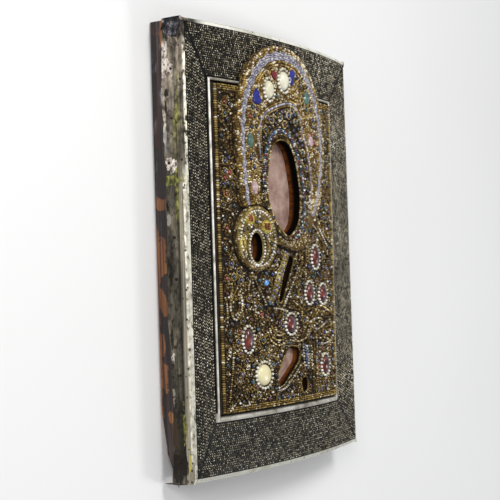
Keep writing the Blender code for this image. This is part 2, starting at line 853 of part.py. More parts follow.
# The large halo's outline: a horseshoe of scallops, then plain edges round the child's halo and below
# the face.
HALO_ARC = placed([
    (-64.3, 30), (-66.3, 45), (-67.6, 65), (-68.1, 86), (-64.8, 106), (-55.6, 124), (-42.4, 137), (-27.5, 143.6),
    (-12.2, 145.4), (3.5, 143), (17.6, 135.5), (29.6, 123.5), (38, 108), (42.8, 90), (42.6, 72), (39.5, 52),
    (33, 34), (25, 22),
])
HALO_FOOT = placed([(25, 22), (17, 10), (9, 1.5), (-3, -1.2), (-16, 1.5), (-26.2, 4)])
SCALLOP_PITCH = 5.6
SCALLOP_DEPTH = 1.0


def scalloped(line, pitch, depth, closed=False, steps=4):
    """The line bulged outwards, to its left, between evenly spaced points."""
    even = resampled(line + line[:1] if closed else line, pitch, closed)
    count = len(even) if closed else len(even) - 1
    fine = []
    for i in range(count):
        a, b = even[i], even[(i + 1) % len(even)]
        dx, dy = (b[0] - a[0]), (b[1] - a[1])
        length = math.hypot(dx, dy)
        for k in range(steps):
            t = k / steps
            out = depth * math.sin(math.pi * t)
            fine.append((a[0] + dx * t - dy / length * out, a[1] + dy * t + dx / length * out))
    if not closed:
        fine.append(even[-1])
    return fine


def child_edge(grow, step):
    return oval(*CHILD_CENTRE, CHILD_ACROSS + grow, CHILD_ALONG + grow, step)


arc_line = curve(HALO_ARC, 3.0, closed=False)
foot_line = curve(HALO_FOOT, 5.0, closed=False)
start_angle = math.atan2(arc_line[0][1] - CHILD_CENTRE[1], arc_line[0][0] - CHILD_CENTRE[0])
end_angle = math.atan2(foot_line[-1][1] - CHILD_CENTRE[1], foot_line[-1][0] - CHILD_CENTRE[0])
join_line = []
JOIN_STEPS = 14
for i in range(1, JOIN_STEPS):
    angle = end_angle + (start_angle - end_angle) * i / JOIN_STEPS
    join_line.append((
        CHILD_CENTRE[0] + (CHILD_ACROSS + 1.3) * math.cos(angle),
        CHILD_CENTRE[1] + (CHILD_ALONG + 1.3) * math.sin(angle),
    ))
arc_scallops = scalloped(arc_line, SCALLOP_PITCH, SCALLOP_DEPTH, steps=3)
HALO_LOOP = arc_scallops + foot_line[1:-1] + join_line
halo_plain = arc_line + foot_line[1:-1] + join_line
child_loop = turned(child_edge(0, 3.6), False)
CHILD_LOOP = scalloped(child_loop, 3.6, 0.5, closed=True, steps=2)

# The set stones: name, place, half sizes, whether pearls ring it, the level it stands on, and finish.
STONES = [
    ("crown_stone_left", -33.4, 113.3, 4.5, 6.6, True, HALO_LEVEL, "white_stone"),
    ("crown_stone_right", -14.5, 121.7, 5.6, 7.0, True, HALO_LEVEL, "white_stone"),
    ("red_stone_shoulder", 30.0, -5.8, 4.7, 7.4, True, COVER_LEVEL, "red_stone"),
    ("red_stone_breast", 18.7, -32.5, 4.9, 6.9, True, COVER_LEVEL, "red_stone"),
    ("red_stone_edge", 40.8, -33.7, 5.6, 6.0, True, COVER_LEVEL, "red_stone"),
    ("red_stone_left", -60.7, -63.0, 4.4, 7.6, True, COVER_LEVEL, "red_stone"),
    ("red_stone_middle", -9.1, -54.5, 6.0, 6.0, True, COVER_LEVEL, "red_stone"),
    ("red_stone_sleeve", 41.2, -87.3, 5.4, 6.5, True, COVER_LEVEL, "red_stone"),
    ("white_stone_round", -44.2, -88.7, 7.5, 7.5, True, COVER_LEVEL, "white_stone"),
    ("turquoise_stone", -37.3, -24.1, 2.3, 2.3, False, COVER_LEVEL, "blue_stone"),
]


def dome(name, finish_name, x, y, half_width, half_height, foot, height, sides=10):
    """An oval stone: a short straight side, then a domed top."""
    points = []
    levels = ((1.0, 0.0), (1.0, 0.3), (0.72, 0.82))
    for share, rise in levels:
        for i in range(sides):
            angle = 2 * math.pi * i / sides
            px, py = x + half_width * share * math.cos(angle), y + half_height * share * math.sin(angle)
            points.append((px, py, front(px) + foot + height * rise))
    points.append((x, y, front(x) + foot + height))
    faces = [tuple(reversed(range(sides)))]
    for row in range(len(levels) - 1):
        for i in range(sides):
            j = (i + 1) % sides
            faces.append((row * sides + i, row * sides + j, (row + 1) * sides + j, (row + 1) * sides + i))
    top = (len(levels) - 1) * sides
    faces += [(top + i, top + (i + 1) % sides, len(points) - 1) for i in range(sides)]
    solid(name, finish_name, points, faces)


def pearl_ring(name, x, y, half_width, half_height, foot):
    """Pearls strung in an oval: one closed string that swells at each pearl."""
    length = math.pi * (3 * (half_width + half_height) - math.sqrt(
        (3 * half_width + half_height) * (half_width + 3 * half_height)
    ))
    pearls = max(6, round(length / PEARL_SIZE))
    even = resampled(oval(x, y, half_width, half_height, 1.0) + [(x + half_width, y)], length / pearls / 2, True)
    even = even[: 2 * pearls]
    sections = []
    for i, (px, py) in enumerate(even):
        before, after = even[i - 1], even[(i + 1) % len(even)]
        dx, dy = after[0] - before[0], after[1] - before[1]
        size = math.hypot(dx, dy)
        nx, ny = dy / size, -dx / size
        swell = 1.0 if i % 2 == 0 else 0.5
        half, height = PEARL_SIZE / 2 * swell, PEARL_HEIGHT * (0.25 + 0.75 * swell)
        section = []
        for across, rise in ((0.0, 0.0), (1.0, 0.45), (0.0, 1.0), (-1.0, 0.45)):
            sx, sy = px + nx * half * across, py + ny * half * across
            section.append((sx, sy, front(sx) + foot + height * rise))
        sections.append(section[::-1])
    swept(name, "pearl", sections, closed=True)


PEARLS_STAND_OFF = PEARL_SIZE / 2 + CLEARANCE + 0.1
stone_feet = {COVER_LEVEL: [], HALO_LEVEL: []}
for name, x, y, a, b, ringed, level, look in STONES:
    px, py = place(x, y)
    half_width, half_height = a * ACROSS, b * ALONG
    foot = level + CLEARANCE
    dome(name, look, px, py, half_width, half_height, foot, STONE_HEIGHT if ringed else STONE_HEIGHT * 0.6)
    reach = 0.9
    if ringed:
        pearl_ring(
            name + "_pearls", px, py, half_width + PEARLS_STAND_OFF, half_height + PEARLS_STAND_OFF, foot
        )
        reach += PEARLS_STAND_OFF + PEARL_SIZE / 2
    stone_feet[level].append((px, py, half_width + reach, half_height + reach))


def stone_floor(level, step=5.0):
    """A level edge round the foot of every stone, so that nothing rises into it."""
    lines = []
    for x, y, a, b in stone_feet[level]:
        line = [(px, py, level) for px, py in oval(x, y, a * 1.05, b * 1.05, step)]
        lines.append(line + line[:1])
    return lines


def clear_of_stones(points, level):
    """The points that no stone or ring of pearls stands on."""
    kept = []
    for x, y, z in points:
        if all(((x - sx) / (a + 0.9)) ** 2 + ((y - sy) / (b + 0.9)) ** 2 > 1 for sx, sy, a, b in stone_feet[level]):
            kept.append((x, y, z))
    return kept


# The large halo with the veil: raised above the cover, with the face window through it. Above the
# cover's top edge it comes down to the border strip.
halo_top = HALO_LEVEL + HALO_RELIEF
halo_points = []
beads = resampled(arc_line, SCALLOP_PITCH / 2)
halo_points += [
    (x, y, halo_top + 0.2 if i % 2 else HALO_LEVEL - 0.1) for i, (x, y) in enumerate(offset(beads, -1.9))
]
halo_points += [(x, y, HALO_LEVEL - 0.2) for x, y in offset(resampled(arc_line, SCALLOP_PITCH), -4.4)]
halo_points += [(x, y, HALO_LEVEL - 0.2) for x, y in offset(resampled(arc_line, 7.0), -10.4)]
gold_row = offset(resampled(arc_line, 4.5), -12.4)
halo_points += [(x, y, halo_top - (0.35 if i % 2 else 0.0)) for i, (x, y) in enumerate(gold_row)]
halo_points += [(x, y, HALO_LEVEL) for x, y in offset(resampled(arc_line, 7.0), -14.4)]
INNER_ROW = curve(placed([
    (-46.5, 62), (-47.6, 82.9), (-41, 95.5), (-28.4, 102.4), (-9.5, 107.4), (2.9, 105), (9.4, 94.4), (14.1, 82.3),
    (19.2, 72.2), (21.5, 57.2), (22.6, 44), (19, 30),
]), 4.6, closed=False)
VEIL_ROW = curve(placed([
    (-41.4, 44), (-41, 54), (-39, 64), (-35.2, 73.8), (-29, 81.2), (-21, 84), (-12, 83), (-5.6, 78.6), (-0.6, 71),
    (3.8, 61), (7, 49), (8.4, 37.6), (6.9, 25), (2.4, 15), (-4.5, 8),
]), 4.6, closed=False)
halo_ridges = ridge(INNER_ROW, halo_top, HALO_LEVEL, 1.7, 0.4) + ridge(VEIL_ROW, halo_top + 0.2, HALO_LEVEL, 1.7, 0.3)
halo_flowers = []
for x, y in [
    (-59, 88), (-52.5, 99), (-58.8, 63), (-56.2, 47), (1.8, 126.5), (14.5, 125), (24, 114), (27, 100), (31.5, 88),
    (29, 74), (32, 62), (26.5, 47),
]:
    halo_flowers += flower(*place(x, y), 3.4, halo_top, HALO_LEVEL)
for x, y, r in [
    (-48, 106.5, 4.4), (-3.5, 125.6, 3.6), (-27.7, 123.9, 3.0), (-23.5, 109.7, 2.2), (-58.4, 74.9, 3.4), (17.2, 112.2, 3.4),
    (-53.7, 39.5, 3.0), (23.6, 82, 3.2), (21, 92, 2.4), (-38, 84, 2.2), (-31, 92, 2.2), (-20, 95, 2.4),
    (-9, 97, 2.4), (0.5, 93, 2.2), (6, 84, 2.2), (-14.5, 90, 2.0), (9.5, 71, 2.2), (13.5, 60, 2.2),
    (15.5, 48, 2.2), (15, 37, 2.2), (12.5, 26, 2.2), (8, 14, 2.2), (-43, 36, 2.0), (-33, 22, 2.0),
]:
    halo_flowers += bead(*place(x, y), r, halo_top - 0.1, HALO_LEVEL)
halo_field = []
for x, y, _ in grid_points([halo_plain], 10.0, lambda x, y: 0.0):
    halo_field.append((x + random.uniform(-1.6, 1.6), y + random.uniform(-1.6, 1.6), HALO_LEVEL + random.uniform(0, 0.5)))
LIFT_START = 2.6
lift_line = FILLET_TOP + LIFT_START


def halo_under(x, y):
    """The halo's underside: on the cover below the fillet, on the border strip above it."""
    return COVER_LEVEL + CLEARANCE if y < lift_line else CLEARANCE + STRIP_RELIEF


halo_bottoms = []
for x in stations(min(x for x, _ in halo_plain), max(x for x, _ in halo_plain), 5.0):
    halo_bottoms += [(x, lift_line - 0.1, COVER_LEVEL + CLEARANCE), (x, lift_line + 0.9, CLEARANCE + STRIP_RELIEF)]
plate(
    "halo_large",
    "halo_gold",
    [HALO_LOOP, FACE_WINDOW],
    lambda x, y: HALO_LEVEL - 0.7 if distance(x, y, FACE_WINDOW) > 2 else HALO_LEVEL + 0.4,
    halo_under,
    clear_of_stones(halo_points + halo_ridges + halo_flowers + halo_field, HALO_LEVEL),
    halo_bottoms,
    stone_floor(HALO_LEVEL),
    spacing=1.5,
)

# The child's halo, a smaller disc with an oval window.
child_top = CHILD_LEVEL + CHILD_RELIEF
child_points = []
edge_beads = child_edge(-1.4, 1.8)
child_points += [(x, y, child_top if i % 2 else CHILD_LEVEL) for i, (x, y) in enumerate(edge_beads)]
child_points += [(x, y, CHILD_LEVEL) for x, y in child_edge(-3.2, 4.0)]
child_pearls = child_window(WINDOW_PEARLS_OUT, 1.9)
child_points += [(x, y, child_top if i % 2 else CHILD_LEVEL + 0.2) for i, (x, y) in enumerate(child_pearls)]
child_points += [(x, y, CHILD_LEVEL) for x, y in child_window(WINDOW_ROW_OUT, 3.5)]
for x, y, r in [
    (-58.4, 21.2, 3.2), (-39.5, 15.5, 3.4), (-66.8, 3.3, 2.0), (-46.1, 22.1, 2.2), (-34.8, 3.1, 2.2), (-65, 12.5, 1.8),
    (-37, -6, 2.0), (-63.5, -6.5, 1.8),
]:
    child_points += bead(*place(x, y), r, child_top, CHILD_LEVEL)
plate(
    "halo_child",
    "child_gold",
    [CHILD_LOOP, CHILD_WINDOW],
    lambda x, y: CHILD_LEVEL - 0.3,
    lambda x, y: COVER_LEVEL + CLEARANCE,
    child_points,
    spacing=1.2,
)

# The cover: a plate with every window through it. Cords, folds and small stones stand up from it, and
# it stays level under the haloes and the set stones.
high = COVER_LEVEL + COVER_RELIEF
cover_loop = rectangle(FIELD_LEFT, field_right, FIELD_BOTTOM, FIELD_TOP, 9.0)
cover_windows = [FACE_WINDOW, CHILD_WINDOW, SLIT_WINDOW, HAND_WINDOW, SMALL_WINDOW]
halo_foot_ring = resampled(offset(turned(halo_plain, False), 1.9, True), 5.0)
child_foot_ring = child_edge(1.7, 5.0)


def under_haloes(x, y, grow):
    near = distance(x, y, halo_plain) < grow or distance(x, y, child_loop) < grow
    return near or inside(x, y, halo_plain) or inside(x, y, child_loop)


cover_lines = []
COLUMN_INSET = 2.6
RIB_PITCH = 3.0
left_column = [(FIELD_LEFT + COLUMN_INSET, y) for y in stations(FIELD_BOTTOM + 2, FIELD_TOP - 2, RIB_PITCH)]
right_column = [
    (field_right(y) - COLUMN_INSET - 2.0, y) for y in stations(FIELD_BOTTOM + 2, FIELD_TOP - 2, RIB_PITCH)
]
for column in (left_column, right_column):
    crest = [(x, y, high - (0.7 if i % 2 else 0.0)) for i, (x, y) in enumerate(column)]
    cover_lines += crest
    for side in (1.9, -1.9):
        cover_lines += [(x + side, y, COVER_LEVEL) for x, y in column[::2]]
for y in (FIELD_BOTTOM + 2.0, FIELD_TOP - 2.0):
    row = [(x, y) for x in stations(FIELD_LEFT + 6, field_right(y) - 8, 6.0)]
    cover_lines += ridge(row, high - 0.3, COVER_LEVEL, 1.6, 0.4)
cords = [
    [(-53.5, -19.5), (-47, -29), (-40.2, -39.5)],
    [(-57, -17), (-56, -32), (-53.5, -47)],
    [(5.5, -3), (7.2, -9), (-1.3, -23), (-11, -34), (-18.5, -42.5)],
    [(27, 19), (36, 12), (46, 2), (56, -7)],
    [(21, 14), (17, 2), (13, -10), (6, -20)],
    [(12.5, -46), (22, -44), (32, -46.5), (42, -51), (54, -52)],
    [(7, -62), (15, -55), (26, -55), (38, -59), (54, -58)],
    [(6.5, -66), (7, -78), (8, -89)],
    [(15.5, -64), (16, -76), (16.5, -88)],
    [(22, -62), (24, -76), (22, -92), (20, -104)],
    [(-33, -70), (-30, -62), (-22, -58), (-20, -68), (-27, -74)],
    [(-35, -104), (-24, -101.5), (-12, -95), (0, -87), (4, -84)],
    [(-82, -104), (-78.5, -99), (-73, -104), (-68, -100), (-62, -106)],
    [(-84, 106), (-76, 108), (-68, 104), (-66, 97), (-72, 93), (-76, 97)],
    [(-66, -84), (-74, -80), (-76, -90), (-70, -96), (-62, -92)],
    [(26, -66), (36, -67), (46, -65), (55, -68)],
]
for keys in cords:
    cover_lines += ridge(curve(placed(keys), 4.4, closed=False), high, COVER_LEVEL, 1.7, 0.3)
cloth = resampled(placed([(-35.0, -39.0), (-13.5, -5.0)]), 5.0)
cover_lines += band(cloth, high + 0.2, COVER_LEVEL, 3.0)
leaf = oval(*place(-73.1, -36.3), 4.6, 9.6, 3.2)
cover_lines += ridge(leaf, high, COVER_LEVEL, 1.5, 0.3, closed=True)
for x, y in [
    (-76.1, 48.7), (-73.2, -17.4), (-78.9, 68), (-77.5, 10), (-73, 80), (54, 100), (56, 84), (54.5, 66), (50.5, 40),
    (42, 28), (55, 22), (-70, -49), (-30, -52), (-36, -66), (5, -38), (29, -64), (50.5, -74.5), (30, -102),
    (52, -20), (-55, -79), (-80, -70), (-24, -24),
]:
    cover_lines += flower(*place(x, y), 3.3, high, COVER_LEVEL)
for x, y, r in [
    (-77, 28.6, 3.4), (-69.4, 30.5, 3.2), (-77.6, 98, 2.0), (-29.2, -106.1, 2.2), (-16.4, -106.2, 2.2),
    (-7.7, -106.2, 2.0), (29.7, -88.4, 2.4), (34.7, -74.1, 2.0), (-45, -52, 2.2), (-30, -9, 2.4), (-28, -22, 2.2),
    (-45, -20, 2.0), (13, -12, 2.4), (42, -12, 2.4), (29, -22, 2.2), (5, -48, 2.2), (22, -74, 2.2),
    (-76, -58, 2.2), (-62, -28, 2.2), (-46, -46, 2.2), (52, 4, 2.2), (36, 4, 2.2), (26, 6, 2.2),
]:
    cover_lines += bead(*place(x, y), r, high - 0.1, COVER_LEVEL)
for x, y, _ in grid_points([cover_loop], 10.0, lambda x, y: 0.0):
    cover_lines.append((
        x + random.uniform(-1.8, 1.8), y + random.uniform(-1.8, 1.8), COVER_LEVEL + random.uniform(0.1, 0.8)
    ))
cover_lines = [p for p in clear_of_stones(cover_lines, COVER_LEVEL) if not under_haloes(p[0], p[1], 2.8)]
cover_level = [
    [
        (x, y, COVER_LEVEL)
        for x, y in ring
        if not (inside(x, y, other) or distance(x, y, other) < 2.5) and in_field(x, y, -1.5)
    ]
    for ring, other in ((halo_foot_ring, child_loop), (child_foot_ring, halo_plain))
]
plate(
    "embroidered_cover",
    "gold_thread",
    [cover_loop] + cover_windows,
    lambda x, y: COVER_LEVEL if under_haloes(x, y, 1.0) else COVER_RIM,
    lambda x, y: ARK_FLOOR + CLEARANCE,
    cover_lines,
    (),
    stone_floor(COVER_LEVEL) + cover_level,
    spacing=1.5,
)
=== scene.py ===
"""Looks of the icon panel: old painted wood, tarnished silver sheet, an embossed silver border, and a cover
sewn with gilt purl, glass stones and pearls. Every place is in millimetres in the part's own frame: it lies
on its back, the icon's top is at +Y, and heights are measured from the front face of the silver."""

import math
import random

import bpy
import numpy as np
from mathutils import Matrix, Vector
from mathutils.geometry import delaunay_2d_cdt


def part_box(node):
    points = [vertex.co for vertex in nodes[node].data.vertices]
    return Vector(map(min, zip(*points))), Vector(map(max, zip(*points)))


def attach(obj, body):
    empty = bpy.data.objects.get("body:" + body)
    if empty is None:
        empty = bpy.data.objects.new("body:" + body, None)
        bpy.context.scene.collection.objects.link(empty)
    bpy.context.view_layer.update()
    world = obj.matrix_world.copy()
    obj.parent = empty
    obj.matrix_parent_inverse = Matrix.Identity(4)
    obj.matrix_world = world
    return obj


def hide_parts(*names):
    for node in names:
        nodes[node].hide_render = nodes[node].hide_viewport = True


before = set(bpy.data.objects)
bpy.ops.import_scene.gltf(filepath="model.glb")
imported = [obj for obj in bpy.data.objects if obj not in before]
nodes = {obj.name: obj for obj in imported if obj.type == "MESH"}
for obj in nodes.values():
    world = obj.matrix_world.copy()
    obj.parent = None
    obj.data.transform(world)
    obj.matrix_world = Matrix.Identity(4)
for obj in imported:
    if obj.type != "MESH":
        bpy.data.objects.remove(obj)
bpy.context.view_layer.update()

# The studio: a pale paper floor under soft lamps. The camera stands where the photograph was taken from,
# turned with the icon, so the panel lies on its back and still fills the picture upright.
CAMERA_PLACE = (-0.75407, -0.0252, 0.49798)
PICTURE_RIGHT = (0.54938, -0.03214, 0.83496)
PICTURE_UP = (-0.0066, 0.99906, 0.04281)
LOOKING_BACK = (-0.83555, -0.02903, 0.54865)
LENS_LENGTH = 86.4
FILM_WIDTH = 36.0
camera_data = bpy.data.cameras.new("camera")
camera_data.lens = LENS_LENGTH
camera_data.sensor_width = FILM_WIDTH
camera = bpy.data.objects.new("camera", camera_data)
camera.matrix_world = Matrix.Translation(CAMERA_PLACE) @ Matrix(
    (PICTURE_RIGHT, PICTURE_UP, LOOKING_BACK)
).transposed().to_4x4()
bpy.context.scene.collection.objects.link(camera)
bpy.context.scene.camera = camera


def linear(code):
    """An sRGB hex colour as the linear colour that shaders take."""
    parts = [int(code[i : i + 2], 16) / 255 for i in (1, 3, 5)]
    return (*[p / 12.92 if p <= 0.04045 else ((p + 0.055) / 1.055) ** 2.4 for p in parts], 1.0)


def connect(tree, node, feeds):
    """Feeds a node's inputs, by name or number: with a value, a hex colour, or what is linked there."""
    for key, value in feeds.items():
        if isinstance(value, bpy.types.Node):
            value = next(socket for socket in value.outputs if socket.enabled)
        if isinstance(value, bpy.types.NodeSocket):
            tree.links.new(value, node.inputs[key])
        elif isinstance(value, str) and value.startswith("#"):
            node.inputs[key].default_value = linear(value)
        else:
            node.inputs[key].default_value = value


def add(tree, kind, feeds=None, stops=(), **settings):
    """A node with its settings and feeds; stops are a colour ramp's (place, hex colour) marks."""
    node = tree.nodes.new(kind)
    for name, value in settings.items():
        setattr(node, name, value)
    connect(tree, node, feeds or {})
    for i, (place, code) in enumerate(stops):
        marks = node.color_ramp.elements
        mark = marks[i] if i < 2 else marks.new(place)
        mark.position = place
        mark.color = linear(code)
    return node


def start_material(name, **plain):
    """A new material: its tree, its shader and the object's own coordinates."""
    material = bpy.data.materials.new(name)
    material.use_nodes = True
    tree = material.node_tree
    shader = tree.nodes["Principled BSDF"]
    connect(tree, shader, {key.replace("_", " "): value for key, value in plain.items()})
    return material, tree, shader, add(tree, "ShaderNodeTexCoord").outputs["Object"]


FLOOR_HALF = 3.0
floor_mesh = bpy.data.meshes.new("paper_floor")
floor_mesh.from_pydata(
    [
        (-FLOOR_HALF, -FLOOR_HALF, 0), (FLOOR_HALF, -FLOOR_HALF, 0), (FLOOR_HALF, FLOOR_HALF, 0),
        (-FLOOR_HALF, FLOOR_HALF, 0),
    ],
    [],
    [(0, 1, 2, 3)],
)
# Matt white paper: no gloss, and only the faintest unevenness in its white.
paper, tree, shader, place = start_material("matt_white_paper", Roughness=0.9)
speckle = add(tree, "ShaderNodeTexNoise", {"Vector": place, "Scale": 2.0})
white = add(tree, "ShaderNodeValToRGB", {0: speckle}, [(0.3, "#f1f0ee"), (0.7, "#f6f5f4")])
connect(tree, shader, {"Base Color": white})
floor_mesh.materials.append(paper)
floor = bpy.data.objects.new("paper_floor", floor_mesh)
bpy.context.scene.collection.objects.link(floor)

ROOM_LIGHT = 0.42
world = bpy.data.worlds.new("studio")
bpy.context.scene.world = world
world.use_nodes = True
background = world.node_tree.nodes["Background"]
connect(world.node_tree, background, {"Color": "#e9ecf0", "Strength": ROOM_LIGHT})
bpy.context.scene.view_settings.view_transform = "Standard"

LAMPS = [
    ("lamp_above", (-0.25, 0.85, 1.15), 0.5, 9.5),
    ("lamp_left", (-1.25, 0.35, 0.75), 0.5, 8.5),
    ("lamp_right", (0.75, -0.45, 1.1), 0.35, 3.6),
]
for name, where, size, power in LAMPS:
    lamp_data = bpy.data.lights.new(name, "AREA")
    lamp_data.shape = "DISK"
    lamp_data.size = size
    lamp_data.energy = power
    lamp = bpy.data.objects.new(name, lamp_data)
    lamp.location = where
    lamp.rotation_euler = (-Vector(where)).to_track_quat("-Z", "Y").to_euler()
    bpy.context.scene.collection.objects.link(lamp)


# The board: one old lime plank, warped and wormed. Its sides and back are dark with smoke and oil, and bare
# ochre wood shows where the paint has flaked. In the cover's windows its painted front shows, plain brown.
ICON_WIDTH = 226.0
ICON_HEIGHT = 312.0
EDGE_DEPTH = 27.1
WARP_RISE = 12.4


def height_over_front(tree, place):
    """A shader value: how far a point is above the front of the silver, in millimetres."""
    axes = add(tree, "ShaderNodeSeparateXYZ", {0: place}).outputs
    share = add(tree, "ShaderNodeMath", {0: axes[0], 1: 2000 / ICON_WIDTH}, operation="MULTIPLY")
    square = add(tree, "ShaderNodeMath", {0: share, 1: share}, operation="MULTIPLY")
    fall = add(
        tree, "ShaderNodeMath", {0: square, 1: WARP_RISE, 2: -EDGE_DEPTH - WARP_RISE},
        operation="MULTIPLY_ADD",
    )
    return add(tree, "ShaderNodeMath", {0: axes[2], 1: 1000.0, 2: fall}, operation="MULTIPLY_ADD"), axes


RAGGEDNESS = 4.0


def spot(tree, axes, level, y, at_level, half_y, half_level, ragged):
    """1 inside a ragged oval patch on a side, 0 outside: y in metres, levels in millimetres."""
    along = add(tree, "ShaderNodeMath", {0: axes[1], 1: 1 / half_y, 2: -y / half_y}, operation="MULTIPLY_ADD")
    up = add(
        tree, "ShaderNodeMath", {0: level, 1: 1 / half_level, 2: -at_level / half_level},
        operation="MULTIPLY_ADD",
    )
    far = add(
        tree, "ShaderNodeVectorMath", {0: add(tree, "ShaderNodeCombineXYZ", {0: along, 1: up})},
        operation="LENGTH",
    )
    rough = add(
        tree, "ShaderNodeMath", {0: ragged, 1: RAGGEDNESS, 2: -RAGGEDNESS / 2}, operation="MULTIPLY_ADD"
    )
    total = add(tree, "ShaderNodeMath", {0: far.outputs["Value"], 1: rough}, operation="ADD")
    return add(tree, "ShaderNodeMapRange", {0: total, 1: 1.08, 2: 0.92}, interpolation_type="SMOOTHSTEP")


def laid_over(tree, skin, colour, *masks):
    """A colour laid over the skin where every mask allows it. A mask is a share from 0 to 1, or (value, where
    the share is 0, where it is 1)."""
    share = 1.0
    for mask in masks:
        if isinstance(mask, tuple):
            mask = add(tree, "ShaderNodeMapRange", dict(enumerate(mask)), interpolation_type="SMOOTHSTEP")
        share = add(tree, "ShaderNodeMath", {0: share, 1: mask}, operation="MULTIPLY")
    return add(tree, "ShaderNodeMix", {0: share, 6: skin, 7: colour}, data_type="RGBA")


# Smoked lime wood: grain 2 to 4 mm apart along the plank, nearly black and half matt, with a grey-blue
# sheen painted on in patches over its upper half. Where it is bare it is ochre, streaked with brown.
wood, tree, shader, place = start_material("smoked_lime_wood", Roughness=0.6)
level, axes = height_over_front(tree, place)
grain = add(
    tree, "ShaderNodeTexNoise",
    {
        "Vector": add(tree, "ShaderNodeMapping", {"Vector": place, "Scale": (260, 12, 420)}), "Scale": 1.0,
        "Detail": 6,
    },
)
blotch = add(tree, "ShaderNodeTexNoise", {
    "Vector": add(tree, "ShaderNodeMapping", {"Vector": place, "Scale": (70, 38, 110)}), "Scale": 1.0,
    "Detail": 5, "Roughness": 0.65,
})
smoked = add(
    tree, "ShaderNodeValToRGB", {0: grain},
    [(0.34, "#0a0708"), (0.5, "#1d1412"), (0.62, "#3a2824"), (0.78, "#5d5250")],
)
bare = add(
    tree, "ShaderNodeValToRGB", {0: grain},
    [(0.32, "#2e1a0e"), (0.46, "#65391a"), (0.58, "#8a582e"), (0.74, "#aa7c4c")],
)
torn = add(tree, "ShaderNodeTexNoise", {
    "Vector": add(tree, "ShaderNodeMapping", {"Vector": place, "Scale": (150, 110, 150)}), "Scale": 1.0,
    "Detail": 6, "Roughness": 0.6,
})
# The bare wood is a strip along the back edge of the lower half and ragged patches above it.
wander = add(tree, "ShaderNodeMath", {0: torn, 1: 7.0, 2: -3.5}, operation="MULTIPLY_ADD")
edge_level = add(tree, "ShaderNodeMath", {0: level, 1: wander}, operation="ADD")
skin = laid_over(tree, smoked, bare, (axes[1], 0.022, 0.004), (edge_level, -24.2, -25.2))
BARE_PATCHES = [
    (0.031, -21.0, 0.0045, 5.5), (-0.004, -21.0, 0.011, 4.6), (-0.036, -21.0, 0.008, 3.4),
    (-0.086, -23.0, 0.009, 3.4), (0.143, -17.2, 0.010, 1.5), (-0.062, -23.4, 0.009, 2.2),
    (-0.112, -18.4, 0.004, 2.0),
]
for y, at_level, half_y, half_level in BARE_PATCHES:
    skin = laid_over(tree, skin, bare, spot(tree, axes, level, y, at_level, half_y, half_level, torn), 0.9)
painted_sheen_noise = add(tree, "ShaderNodeTexNoise", {
    "Vector": add(tree, "ShaderNodeMapping", {"Vector": place, "Scale": (170, 50, 170)}), "Scale": 1.0,
    "Detail": 5, "W": 3.0,
}, noise_dimensions="4D")
# Painted sheen: grey patches over the upper half stand in for light mirrored by the smoked wood.
skin = laid_over(tree, skin, "#77757f", (painted_sheen_noise, 0.54, 0.68), (axes[1], -0.02, 0.09), 0.75)
skin = laid_over(
    tree, skin, "#3a1d14", (blotch, 0.52, 0.62), (axes[1], -0.05, 0.02), (level, -19.0, -23.0), 0.7
)
# The painted front shows through the windows only; elsewhere it is painted near black, as shade in the gaps.
painted_noise = add(
    tree, "ShaderNodeTexNoise", {"Vector": place, "Scale": 95.0, "Detail": 6, "Roughness": 0.6}
)
painted = add(
    tree, "ShaderNodeValToRGB", {0: painted_noise}, [(0.3, "#83655a"), (0.5, "#a88a7d"), (0.7, "#bda598")]
)
front_skin = laid_over(
    tree, "#1a120b", painted, (axes[0], -0.064, -0.060), (axes[0], 0.018, 0.014), (axes[1], -0.109, -0.107),
    (axes[1], 0.084, 0.081),
)
skin = laid_over(tree, skin, front_skin, (level, -4.5, -4.0))
rough = add(tree, "ShaderNodeMapRange", {0: blotch, 3: 0.4, 4: 0.8})
bump = add(tree, "ShaderNodeBump", {"Strength": 0.8, "Distance": 0.0014, "Height": grain})
connect(tree, shader, {"Base Color": skin, "Roughness": rough, "Normal": bump})
nodes["wood_board"].data.materials[0] = wood


# The side silver: thin sheet hammered over the edges and nailed, torn along the back and rolled over the
# front edge. Handling keeps the rolled lip bright; lamp oil has left a green-yellow stain along its crease.
# Beaten silver sheet: clouds of grey-brown tarnish over a pinkish white, scratches 1.4 mm apart along it,
# specks of 2 to 4 mm, and shallow dents that catch the light.
silver, tree, shader, place = start_material("tarnished_silver_sheet", Metallic=0.8)
level, axes = height_over_front(tree, place)
cloud = add(tree, "ShaderNodeTexNoise", {
    "Vector": add(tree, "ShaderNodeMapping", {"Vector": place, "Scale": (75, 30, 90)}), "Scale": 1.0,
    "Detail": 7, "Roughness": 0.65,
})
streak = add(
    tree, "ShaderNodeTexNoise",
    {
        "Vector": add(tree, "ShaderNodeMapping", {"Vector": place, "Scale": (700, 13, 700)}), "Scale": 1.0,
        "Detail": 4,
    },
)
speck = add(
    tree, "ShaderNodeTexNoise",
    {
        "Vector": add(tree, "ShaderNodeMapping", {"Vector": place, "Scale": (420, 260, 420)}), "Scale": 1.0,
        "Detail": 4,
    },
)
dull = add(
    tree, "ShaderNodeValToRGB", {0: cloud},
    [(0.36, "#2b2924"), (0.46, "#4f4b42"), (0.56, "#6d675b"), (0.68, "#9d9484")],
)
pinkish = add(
    tree, "ShaderNodeValToRGB", {0: cloud},
    [(0.36, "#3c3730"), (0.45, "#7f766b"), (0.55, "#b3a799"), (0.66, "#e6dbce")],
)
skin = laid_over(tree, dull, pinkish, (axes[1], 0.045, 0.105))
for noise, strength, dark, middle in (
    (streak, 0.45, "#8a857b", "#d5d1c7"), (speck, 0.7, "#5f5b52", "#f2f0ea")
):
    tone = add(tree, "ShaderNodeValToRGB", {0: noise}, [(0.34, dark), (0.5, middle), (0.66, "#ffffff")])
    skin = add(
        tree, "ShaderNodeMix", {0: strength, 6: skin, 7: tone}, data_type="RGBA", blend_type="MULTIPLY"
    )
